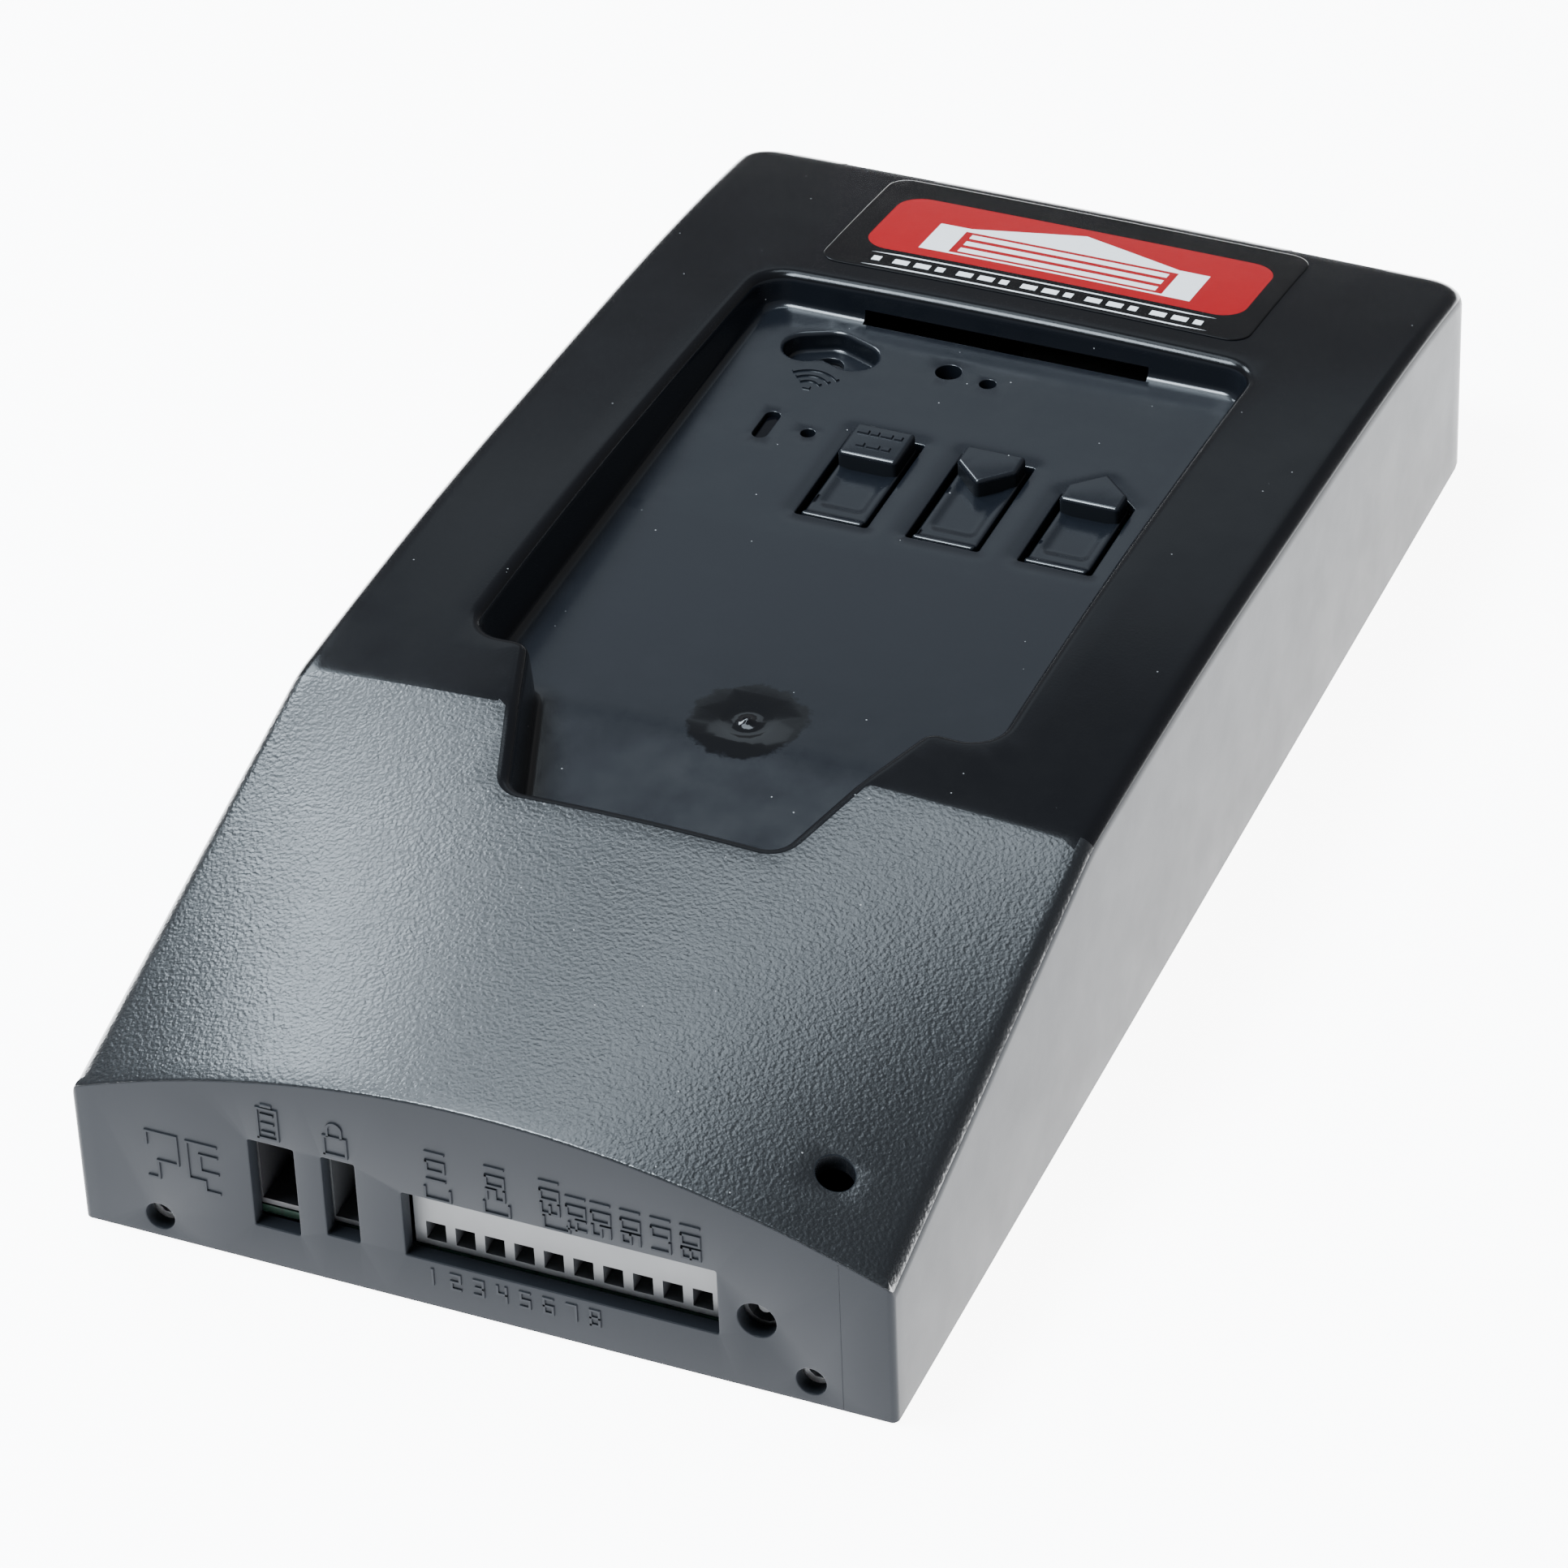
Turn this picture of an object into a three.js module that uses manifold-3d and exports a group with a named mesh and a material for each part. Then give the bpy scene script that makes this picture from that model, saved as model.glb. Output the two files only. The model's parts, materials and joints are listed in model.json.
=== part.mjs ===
// Garage door opener: moulded cover over a steel base plate, worm gear drive, control
// board and keypad. Millimetres, +Z up. The origin is the centre of the footprint at the
// underside of the base plate; the terminal end is at -Y and the keypad end at +Y.
import * as THREE from 'three';
import { mergeVertices } from 'three/addons/utils/BufferGeometryUtils.js';
import Module from 'manifold-3d';

const wasm = await Module();
wasm.setup();

// ---- Driving dimensions ------------------------------------------------------------
const WIDTH = 141;
const LENGTH = 282;
const WALL = 2.8;
const GAP = 0.3; // between pieces that touch
const RUNNING = 0.1; // radial play of a journal
const RELIEF = 0.3; // raised marks on the terminal end

// Top surface: side height along the length, plus a crown across the width
const NEAR_HEIGHT = 27.5;
const CREASE_HEIGHT = 50;
const CREASE_FROM_END = 87;
const PEAK_FROM_CREASE = 18;
const FAR_HEIGHT = 33.3306;
const NEAR_CROWN = 14.6;
const CREASE_CROWN = 3.2;
const FAR_CROWN = 3.8;
const SIDE_ROLL = 2.6;
const NEAR_EDGE = 0.5;
const FAR_FILLET = 4.5;

// Recess in the top, with a tab that runs down the front slope
const RECESS_HALF = 46.5;
const RECESS_FAR = 90;
const SHOULDER = -36.5;
const TAB_HALF = 35.5;
const TAB_NEAR_HALF = 23.5;
const TAB_NEAR = -71.5;
const PANEL_START = 21.5; // the crease between the middle floor and the button panel
const PANEL_HEIGHT = 39.6;
const PANEL_FALL = 0.0197;
const FLOOR_HEIGHT = 40.4;
const TAB_FLOOR_HEIGHT = 37;

// Keypad
const BUTTON_PITCH = 20.6;
const BUTTON_FIRST = -9;
const BUTTON_ROOT = 29.2;
const BUTTON_END = 55.3;
const TONGUE_HALF = 5.65;
const TONGUE_THICK = 1.6;
const TONGUE_DROP = 0.8;
const CAP_HALF = 5.5;
const CAP_START = 45.6;
const CAP_RISE = 2.4;
const SLIT = 1.1;
const FAR_SLIT = 0.8;
const SWITCH_Y = 50.5;
const SWITCH_SIDE = 6;
const SWITCH_HEIGHT = 3.2;
const PLUNGER_R = 1.65;
const PLUNGER_RISE = 1.1;
const BOARD_THICK = 1.6;

// Network pocket, its plunger, and the small openings of the panel
const POCKET_DEPTH = 3.9;
const POCKET_FLOOR = 1.2;
const POCKET_WALL = 1.7;
const POCKET_R = 4.2;
const POCKET_PATH = [[-33.6, 77.9], [-29.5, 79.8], [-24.4, 77.8]];
const NETWORK_X = -29.8;
const NETWORK_Y = 78.6;
const NETWORK_HOLE_R = 2.7;
const LENS_SLOT = { x: -30.7, y: 52.2, half: 1.4, long: 4.25 };
const PANEL_HOLES = [[-22.8, 52.2, 1.3], [-6.8, 78.9, 2.35], [1.1, 77.7, 1.5]];

// Slot for the lid hinge in the far wall of the recess
const HINGE_HALF = 27;
const HINGE_NEAR = 88;
const HINGE_PIN_R = 1.1;

// Label pocket
const LABEL_FROM_END = 5.5;
const LABEL_LONG = 38;
const LABEL_SIDES = [-39.5, 42];
const LABEL_CORNER = 4;
const LABEL_SINK = 0.35;
const LABEL_THICK = 0.35;

// Terminal end: each opening is x0, x1, z0, z1
const TERMINALS = 10;
const TERMINAL_PITCH = 5.08;
const TERMINAL_X = 14.05; // middle of the terminal opening
const TERMINAL_MARGIN = 1.45;
const TERMINAL_Z = [9.7, 22.6];
const LOCK_SLOT = [-26.5, -20.7, 9.7, 25.8];
const BATTERY_SLOT = [-39.3, -31.3, 8, 25.7];
const JACK = { x: 47.4, z: 14.6, r: 3.3 };
const COVER_SCREWS = [[-56.6, 4.45], [56.2, 4.67]];
const COVER_SCREW_R = 2.55;
const AERIAL = { x: 55.6, fromEnd: 14.1, r: 3.1 };
const NOTCHES = [[-50.7, -31.8], [36.5, 54.8]];
const NOTCH_DEPTH = 2;

// Base plate
const PLATE = 1.5;
const FLANGE_HEIGHT = 8;
const FLANGE_FROM_END = 21;
const FIXING = { x: 60, yNear: 14, yFar: 66, r: 3.25 };
const TAB_HEIGHT = 7.5;
const TAB_WIDTH = 14;
const PILOT_R = 1.7;

// Boards
const BOARD_Z = 8;
const MAIN_BOARD = { x: 62, inset: 0.5, long: 103.4 };
const POST_R = 3;
const MAIN_POSTS = [[-57, 37.9], [57, 37.9], [-57, 97.9], [57, 97.9]]; // Y from the terminal end's wall
const POWER_BOARD = { x0: 4, x1: 62, fromWall: 14.2, long: 52 };
const POST_INSET = 5;
const KEY_BOARD = { x0: -40, x1: 44, y0: 27, y1: 84 };
const KEY_POSTS = [[-36, 33], [41, 62], [-37, 62], [30, 80]];
const PEG_R = 1.2;
const SCREW_R = 1.4;
const HEAD_R = 2.7;
const HEAD_HEIGHT = 1.8;

// Worm drive
const MODULE = 1.5;
const WHEEL_TEETH = 40;
const WHEEL_WIDTH = 10;
const WORM_PITCH_R = 6;
const ADDENDUM = 1.1;
const DEDENDUM = 1.6;
const TOOTH_SHARE = 0.37; // tooth thickness as a share of the pitch
const WHEEL_X = 22;
const WHEEL_Y = 29;
const MOTOR_CLEARANCE = 0.5; // motor can above the base plate
const WORM_HALF = 13;
const SHAFT_R = 2;
const SHAFT_START = -62;
const GEAR_WALL = 2.5;
const GEAR_PARTING = 24;
const GEAR_LID = 2.2;
const WORM_LID_TOP = 28.5;
const WORM_BOX = { x0: -7.9, x1: 45, y0: -17.5 };
const EAR_R = 4.5;

// Output hub
const HUB_R = 10;
const HUB_TOP_R = 8;
const HUB_SHOULDER = 1.258; // journal to the flats of the hexagon
const HUB_SOCKET_R = 6.2;
const HUB_SOCKET_DEPTH = 14;
const HUB_SPLINES = 12;
const HUB_RECESS = 0.3;
const BUSH_WALL = 2.6;
const HUB_TOP = 27.6;

// Motor
const MOTOR_R = 16.5;
const MOTOR_WALL = 1.5;
const MOTOR_FRONT = -8.3;
const MOTOR_LENGTH = 46.5;
const AIR_GAP = 0.7; // armature to magnets
const POLES = 5;
const COMMUTATOR_R = 5;
const BRUSH_INSET = 4.5; // from the outside of the can
const MAGNET_THICK = 2.2;
const ENCODER_R = 10;
const ENCODER_SLOTS = 12;

// Mains transformer
const CORE = { x: -32, width: 52, fromWall: 25.2, depth: 28, height: 28, leg: 8 };
const COIL_OVERHANG = 8;

const ROUND = 20; // sides of a round piece
const SMALL_ROUND = 12;
const TINY_ROUND = 8;

// ---- Derived places ----------------------------------------------------------------
const END = LENGTH / 2;
const NEAR_FACE = -END + RELIEF;
const CREASE_Y = -END + CREASE_FROM_END;
const PEAK_Y = CREASE_Y + PEAK_FROM_CREASE;
const BACK_FALL = (END - PEAK_Y) ** 2 - PEAK_FROM_CREASE ** 2;
const BACK_RADIUS = BACK_FALL / (2 * (CREASE_HEIGHT - FAR_HEIGHT));
const INNER_HALF = WIDTH / 2 - WALL;
const INNER_NEAR = NEAR_FACE + WALL;
const INNER_FAR = END - WALL;
const AXLE_Z = PLATE + MOTOR_CLEARANCE + MOTOR_R;
const ARMATURE_R = MOTOR_R - MOTOR_WALL - GAP - MAGNET_THICK - AIR_GAP;
const HUB_HEX_R = (HUB_R + HUB_SHOULDER) / Math.cos(Math.PI / 6);
const WORM_Y = WHEEL_Y - MODULE * WHEEL_TEETH / 2 - WORM_PITCH_R;
const WHEEL_Z = AXLE_Z - WHEEL_WIDTH / 2;
const BUTTON_X = [0, 1, 2].map((i) => BUTTON_FIRST + i * BUTTON_PITCH);
const BOARD_TOP = BOARD_Z + BOARD_THICK;
const POCKET_UNDER = floorHeight(NETWORK_Y) - POCKET_DEPTH - POCKET_FLOOR;
const KEY_BOARD_Z = POCKET_UNDER - 2 * GAP - SWITCH_HEIGHT - BOARD_THICK;
const KEY_BOARD_TOP = KEY_BOARD_Z + BOARD_THICK;
const SWITCH_BASE = KEY_BOARD_TOP + GAP;
const SWITCH_TOP = SWITCH_BASE + SWITCH_HEIGHT;
const PLUNGER_TOP = SWITCH_TOP + PLUNGER_RISE;
const TERMINAL_HALF = TERMINALS * TERMINAL_PITCH / 2 + TERMINAL_MARGIN;
const TERMINAL_SLOT = [TERMINAL_X - TERMINAL_HALF, TERMINAL_X + TERMINAL_HALF, ...TERMINAL_Z];
const LABEL_FAR = END - LABEL_FROM_END;
const LABEL_NEAR = LABEL_FAR - LABEL_LONG;
const MAIN_NEAR = INNER_NEAR + MAIN_BOARD.inset;
const MAIN_FAR = MAIN_NEAR + MAIN_BOARD.long;
const MAIN_POST_PLACES = MAIN_POSTS.map(([x, y]) => [x, INNER_NEAR + y]);
const POWER_FAR = INNER_FAR - POWER_BOARD.fromWall;
const POWER_NEAR = POWER_FAR - POWER_BOARD.long;
const POWER_POSTS = [POWER_BOARD.x0 + POST_INSET, POWER_BOARD.x1 - POST_INSET].flatMap((x) => (
  [[x, POWER_NEAR + POST_INSET], [x, POWER_FAR - POST_INSET]]
));
const CORE_FAR = INNER_FAR - CORE.fromWall;
const CORE_NEAR = CORE_FAR - CORE.depth;

function sideHeight(y) {
  if (y < CREASE_Y) {
    return NEAR_HEIGHT + (CREASE_HEIGHT - NEAR_HEIGHT) * (y + END) / CREASE_FROM_END;
  }
  const peak = CREASE_HEIGHT + PEAK_FROM_CREASE ** 2 / (2 * BACK_RADIUS);
  return peak - (y - PEAK_Y) ** 2 / (2 * BACK_RADIUS);
}

function crown(y) {
  if (y < CREASE_Y) {
    return NEAR_CROWN + (CREASE_CROWN - NEAR_CROWN) * (y + END) / CREASE_FROM_END;
  }
  return CREASE_CROWN + (FAR_CROWN - CREASE_CROWN) * (y - CREASE_Y) / (LENGTH - CREASE_FROM_END);
}

function topHeight(x, y) {
  return sideHeight(y) + crown(y) * (1 - (2 * x / WIDTH) ** 2);
}

function floorHeight(y) {
  if (y > PANEL_START) return PANEL_HEIGHT - PANEL_FALL * (y - PANEL_START);
  if (y > SHOULDER) {
    return FLOOR_HEIGHT + (PANEL_HEIGHT - FLOOR_HEIGHT) * (y - SHOULDER) / (PANEL_START - SHOULDER);
  }
  return FLOOR_HEIGHT + (TAB_FLOOR_HEIGHT - FLOOR_HEIGHT) * (SHOULDER - y) / (SHOULDER - TAB_NEAR);
}

// ---- Solids from three.js geometry -------------------------------------------------
function toSolid(geometry, matrix) {
  const bare = geometry.index ? geometry.toNonIndexed() : geometry.clone();
  bare.deleteAttribute('normal');
  bare.deleteAttribute('uv');
  if (matrix) bare.applyMatrix4(matrix);
  const merged = mergeVertices(bare, 1e-4);
  return new wasm.Manifold(new wasm.Mesh({
    numProp: 3,
    vertProperties: new Float32Array(merged.attributes.position.array),
    triVerts: new Uint32Array(merged.index.array),
  }));
}

function toGeometry(solid) {
  const mesh = solid.getMesh();
  const position = new Float32Array(mesh.numVert * 3);
  for (let i = 0; i < mesh.numVert; i += 1) {
    position.set(mesh.vertProperties.subarray(i * mesh.numProp, i * mesh.numProp + 3), i * 3);
  }
  const geometry = new THREE.BufferGeometry();
  geometry.setAttribute('position', new THREE.BufferAttribute(position, 3));
  geometry.setIndex(new THREE.BufferAttribute(new Uint32Array(mesh.triVerts), 1));
  geometry.computeVertexNormals();
  return geometry;
}

const join = (...solids) => solids.reduce((all, one) => all.add(one));
const cut = (solid, ...tools) => tools.reduce((left, tool) => left.subtract(tool), solid);

function box(x0, x1, y0, y1, z0, z1) {
  const geometry = new THREE.BoxGeometry(x1 - x0, y1 - y0, z1 - z0);
  const middle = new THREE.Matrix4();
  return toSolid(geometry, middle.makeTranslation((x0 + x1) / 2, (y0 + y1) / 2, (z0 + z1) / 2));
}

const AXIS_BASIS = {
  z: [new THREE.Vector3(1, 0, 0), new THREE.Vector3(0, 1, 0), new THREE.Vector3(0, 0, 1)],
  x: [new THREE.Vector3(0, 1, 0), new THREE.Vector3(0, 0, 1), new THREE.Vector3(1, 0, 0)],
  y: [new THREE.Vector3(0, 0, 1), new THREE.Vector3(1, 0, 0), new THREE.Vector3(0, 1, 0)],
};

// Extrudes an outline along an axis. Outline points are (X, Y) for z, (Y, Z) for x and
// (Z, X) for y.
function prism(axis, points, from, to, holes = []) {
  const shape = new THREE.Shape(points.map(([a, b]) => new THREE.Vector2(a, b)));
  for (const hole of holes) {
    shape.holes.push(new THREE.Path(hole.map(([a, b]) => new THREE.Vector2(a, b))));
  }
  const geometry = new THREE.ExtrudeGeometry(shape, { depth: to - from, bevelEnabled: false });
  geometry.translate(0, 0, from);
  return toSolid(geometry, new THREE.Matrix4().makeBasis(...AXIS_BASIS[axis]));
}

function circle(a, b, radius, sides = ROUND) {
  return Array.from({ length: sides }, (_, i) => {
    const turn = (i + 0.5) * 2 * Math.PI / sides;
    return [a + radius * Math.cos(turn), b + radius * Math.sin(turn)];
  });
}

const rod = (axis, a, b, radius, from, to, sides = ROUND) => (
  prism(axis, circle(a, b, radius, sides), from, to)
);

const ring = (axis, a, b, outer, inner, from, to, sides = ROUND) => (
  prism(axis, circle(a, b, outer, sides), from, to, [circle(a, b, inner, sides)])
);

// Rounds the corners of a polygon, given counter-clockwise or clockwise.
function rounded(points, radii, steps = 4) {
  const out = [];
  points.forEach((point, i) => {
    const radius = Array.isArray(radii) ? radii[i] : radii;
    const corner = new THREE.Vector2(...point);
    const before = new THREE.Vector2(...points.at(i - 1)).sub(corner).normalize();
    const after = new THREE.Vector2(...points[(i + 1) % points.length]).sub(corner).normalize();
    const half = Math.acos(THREE.MathUtils.clamp(before.dot(after), -1, 1)) / 2;
    const reach = radius / Math.tan(half);
    const bisector = before.clone().add(after).normalize();
    const centre = corner.clone().addScaledVector(bisector, radius / Math.sin(half));
    const start = corner.clone().addScaledVector(before, reach).sub(centre);
    const turn = Math.PI - 2 * half;
    const side = Math.sign(before.cross(after));
    for (let k = 0; k <= steps; k += 1) {
      const spoke = start.clone().rotateAround(new THREE.Vector2(), -side * turn * k / steps);
      out.push([centre.x + spoke.x, centre.y + spoke.y]);
    }
  });
  return out;
}

const rectangle = (x0, x1, y0, y1) => [[x0, y0], [x1, y0], [x1, y1], [x0, y1]];

// Closes a stack of rings of points into a solid. Each ring is convex.
function loft(rings) {
  const count = rings[0].length;
  const position = rings.flat(2);
  const index = [];
  for (let r = 0; r + 1 < rings.length; r += 1) {
    for (let i = 0; i < count; i += 1) {
      const a = r * count + i;
      const b = r * count + (i + 1) % count;
      index.push(a, a + count, b, b, a + count, b + count);
    }
  }
  const last = (rings.length - 1) * count;
  for (let i = 1; i + 1 < count; i += 1) {
    index.push(0, i, i + 1);
    index.push(last, last + i + 1, last + i);
  }
  const geometry = new THREE.BufferGeometry();
  geometry.setAttribute('position', new THREE.Float32BufferAttribute(position, 3));
  geometry.setIndex(index);
  return toSolid(geometry);
}

// ---- Cover -------------------------------------------------------------------------
// Cross-section of the housing shape at y, moved inwards by inset and lowered by drop.
function coverSection(y, place, inset, roll, drop, base) {
  const half = WIDTH / 2 - inset;
  const slope = 2 * crown(y) * half / (WIDTH / 2) ** 2;
  const tilt = Math.atan(slope);
  const edgeZ = topHeight(half, y) - inset - drop;
  const centreX = half - roll;
  const centreZ = edgeZ + slope * roll - roll / Math.cos(tilt);
  const steps = inset > 0 ? 1 : 4;
  const right = [[half, base]];
  for (let k = 0; k <= steps; k += 1) {
    const turn = (Math.PI / 2 - tilt) * k / steps;
    right.push([centreX + roll * Math.cos(turn), centreZ + roll * Math.sin(turn)]);
  }
  const lastX = right.at(-1)[0];
  const crownSteps = inset > 0 ? 8 : 12;
  const middle = [];
  for (let k = 1; k < crownSteps; k += 1) {
    const x = lastX - 2 * lastX * k / crownSteps;
    middle.push([x, topHeight(x, y) - inset - drop]);
  }
  const left = right.map(([x, z]) => [-x, z]).reverse();
  return [...right, ...middle, ...left].map(([x, z]) => [x, place, z]);
}

function outerShape() {
  const rings = [coverSection(NEAR_FACE, NEAR_FACE, 0, SIDE_ROLL, NEAR_EDGE, 0)];
  rings.push(coverSection(NEAR_FACE + NEAR_EDGE, NEAR_FACE + NEAR_EDGE, 0, SIDE_ROLL, 0, 0));
  const slopeSteps = 3;
  for (let k = 1; k < slopeSteps; k += 1) {
    const y = NEAR_FACE + (CREASE_Y - 1 - NEAR_FACE) * k / slopeSteps;
    rings.push(coverSection(y, y, 0, SIDE_ROLL, 0, 0));
  }
  const creaseRound = 0.15;
  rings.push(coverSection(CREASE_Y - 1, CREASE_Y - 1, 0, SIDE_ROLL, 0, 0));
  rings.push(coverSection(CREASE_Y, CREASE_Y, 0, SIDE_ROLL, creaseRound, 0));
  rings.push(coverSection(CREASE_Y + 1, CREASE_Y + 1, 0, SIDE_ROLL, 0, 0));
  const backSteps = 9;
  const backEnd = END - FAR_FILLET;
  for (let k = 1; k <= backSteps; k += 1) {
    const y = CREASE_Y + 1 + (backEnd - CREASE_Y - 1) * k / backSteps;
    rings.push(coverSection(y, y, 0, SIDE_ROLL, 0, 0));
  }
  const filletSteps = 4;
  for (let k = 1; k <= filletSteps; k += 1) {
    const turn = Math.PI / 2 * k / filletSteps;
    const y = backEnd + FAR_FILLET * Math.sin(turn);
    rings.push(coverSection(y, y, 0, SIDE_ROLL, FAR_FILLET * (1 - Math.cos(turn)), 0));
  }
  return loft(rings);
}

function innerShape() {
  const below = -1;
  const steps = 8;
  const roll = 1;
  const places = [INNER_NEAR, (INNER_NEAR + CREASE_Y) / 2];
  for (let k = 0; k <= steps; k += 1) places.push(CREASE_Y + (INNER_FAR - CREASE_Y) * k / steps);
  return loft(places.map((y) => coverSection(y, y, WALL, roll, y > INNER_FAR - 3 ? 1.5 : 0, below)));
}

// Outline of the recess, grown outwards by grow.
function recessOutline(grow) {
  const lean = (TAB_HALF - TAB_NEAR_HALF) / (SHOULDER - TAB_NEAR);
  const shift = grow * Math.hypot(1, lean);
  const shoulder = SHOULDER - grow;
  const near = TAB_NEAR - grow;
  const tabHalf = (y) => TAB_HALF + (y - SHOULDER) * lean + shift;
  const half = RECESS_HALF + grow;
  const right = [
    [tabHalf(near), near], [tabHalf(shoulder), shoulder],
    [half, shoulder], [half, RECESS_FAR + grow],
  ];
  const left = right.map(([x, y]) => [-x, y]).reverse();
  const round = [4 + grow, 3.5, 6 + grow, 5.5 + grow];
  return rounded([...right, ...left], [...round, ...[...round].reverse()]);
}

// Everything above the recess floor, lowered by drop.
function aboveFloor(drop) {
  const ceiling = 80;
  const reach = WIDTH;
  const stations = [TAB_NEAR - 10, SHOULDER, PANEL_START, END];
  const line = stations.map((y) => [y, floorHeight(y) - drop]);
  return prism('x', [...line, [END, ceiling], [TAB_NEAR - 10, ceiling]], -reach, reach);
}

function recessPocket(grow, drop) {
  return prism('z', recessOutline(grow), 20, 80).intersect(aboveFloor(drop));
}

function buttonAperture(kind, x) {
  const half = TONGUE_HALF + SLIT;
  const y0 = BUTTON_ROOT - GAP;
  const far = BUTTON_END + FAR_SLIT;
  if (kind !== 'up') return rectangle(x - half, x + half, y0, far);
  const shoulder = far - half + 1;
  return [[x - half, y0], [x + half, y0], [x + half, shoulder], [x, far + 0.4], [x - half, shoulder]];
}

const KINDS = ['program', 'down', 'up'];

function panelOpenings() {
  const low = 30;
  const high = 45;
  const tools = KINDS.map((kind, i) => prism('z', buttonAperture(kind, BUTTON_X[i]), low, high));
  for (const [x, y, r] of PANEL_HOLES) tools.push(rod('z', x, y, r, low, high, SMALL_ROUND));
  const { x, y, half, long } = LENS_SLOT;
  const slot = rounded(rectangle(x - half, x + half, y - long, y + long), half * 0.98);
  tools.push(prism('z', slot, low, high));
  tools.push(rod('z', NETWORK_X, NETWORK_Y, NETWORK_HOLE_R, low - 4, high, SMALL_ROUND));
  return tools;
}

// The scooped pocket follows a bent path of discs and straight links.
function pocketBody(grow, floor) {
  const depth = POCKET_UNDER + POCKET_FLOOR - floor;
  const high = 60;
  const discs = POCKET_PATH.map(([x, y]) => rod('z', x, y, POCKET_R + grow, depth, high, SMALL_ROUND));
  const links = POCKET_PATH.slice(1).map((to, i) => {
    const from = POCKET_PATH[i];
    const angle = Math.atan2(to[1] - from[1], to[0] - from[0]);
    const side = [-Math.sin(angle), Math.cos(angle)].map((v) => v * (POCKET_R + grow));
    const corners = [
      [from[0] + side[0], from[1] + side[1]], [from[0] - side[0], from[1] - side[1]],
      [to[0] - side[0], to[1] - side[1]], [to[0] + side[0], to[1] + side[1]],
    ];
    return prism('z', corners, depth, high);
  });
  return join(...discs, ...links);
}

function labelOutline(grow) {
  const [x0, x1] = LABEL_SIDES;
  const corners = rectangle(x0 - grow, x1 + grow, LABEL_NEAR - grow, LABEL_FAR + grow);
  return rounded(corners, LABEL_CORNER + grow);
}

// A skin of the top surface between two depths below it.
function surfaceSkin(outline, depth, height) {
  const rings = (offset, y) => {
    const half = WIDTH / 2;
    const steps = 8;
    const xs = Array.from({ length: steps + 1 }, (_, k) => half - 2 * half * k / steps);
    return xs.map((x) => [x, y, topHeight(x, y) + offset]);
  };
  const layers = [];
  const steps = 5;
  for (let k = 0; k <= steps; k += 1) {
    const y = LABEL_NEAR - 2 + (LABEL_LONG + 4) * k / steps;
    layers.push([...rings(height, y), ...rings(depth, y).reverse()]);
  }
  return loft(layers).intersect(prism('z', outline, 0, 80));
}

function endMarks() {
  const y0 = NEAR_FACE - RELIEF;
  const y1 = NEAR_FACE + 0.5;
  const line = 0.5;
  const bar = (x0, x1, z0, z1) => box(x0, x1, y0, y1, z0, z1);
  const marks = [];
  const top = TERMINAL_SLOT[3];
  const first = TERMINAL_SLOT[0] + (TERMINAL_SLOT[1] - TERMINAL_SLOT[0] - TERMINALS * TERMINAL_PITCH) / 2;
  for (const pair of [0, 2, 4]) {
    const x0 = first + (pair + 0.55) * TERMINAL_PITCH;
    const x1 = x0 + TERMINAL_PITCH * 0.95;
    marks.push(bar(x0, x0 + line, top + 0.4, top + 2.8));
    marks.push(bar(x0, x1, top + 0.4, top + 0.9));
    marks.push(bar(x1 - line, x1, top + 0.4, top + 2.8));
  }
  return marks;
}

function cover() {
  const outer = outerShape();
  const tub = join(recessPocket(WALL, WALL), pocketBody(POCKET_WALL, POCKET_FLOOR).intersect(aboveFloor(9)));
  const room = cut(innerShape(), tub.intersect(outer));
  const through = [NEAR_FACE - 5, INNER_NEAR + 1];
  const slot = ([x0, x1, z0, z1]) => box(x0, x1, ...through, z0, z1);
  const screws = COVER_SCREWS.map(([x, z]) => rod('y', z, x, COVER_SCREW_R, ...through, SMALL_ROUND));
  const notches = NOTCHES.map(([x0, x1]) => (
    box(x0, x1, END - NOTCH_DEPTH, END + 5, topHeight((x0 + x1) / 2, END) - FAR_FILLET + 1, 60)
  ));
  const hinge = floorHeight(RECESS_FAR);
  const hingeSlot = box(-HINGE_HALF, HINGE_HALF, HINGE_NEAR, RECESS_FAR + WALL + 1, hinge - 5, hinge + 2.2);
  const pins = [-1, 1].map((side) => {
    const x = side * (HINGE_HALF + 1);
    return rod('x', HINGE_NEAR + 2.4, hinge, HINGE_PIN_R, x - 2.4, x + 2.4, SMALL_ROUND);
  });
  const shell = cut(
    outer,
    room,
    recessPocket(0, 0),
    pocketBody(0, 0),
    ...panelOpenings(),
    slot(TERMINAL_SLOT),
    slot(LOCK_SLOT),
    slot(BATTERY_SLOT),
    rod('y', JACK.z, JACK.x, JACK.r, ...through),
    ...screws,
    rod('z', AERIAL.x, -END + AERIAL.fromEnd, AERIAL.r, 20, 60),
    ...notches,
    hingeSlot,
    surfaceSkin(labelOutline(GAP), -LABEL_SINK, 5),
  );
  const posts = KEY_POSTS.flatMap(([x, y]) => [
    rod('z', x, y, POST_R - 0.5, KEY_BOARD_TOP + GAP, floorHeight(y) - 1, SMALL_ROUND),
    rod('z', x, y, PEG_R, KEY_BOARD_Z - 1, KEY_BOARD_TOP + 1, TINY_ROUND),
  ]);
  return join(shell, ...pins, ...posts, ...endMarks());
}

function label() {
  return surfaceSkin(labelOutline(0), -LABEL_SINK + GAP, -LABEL_SINK + GAP + LABEL_THICK);
}

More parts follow.
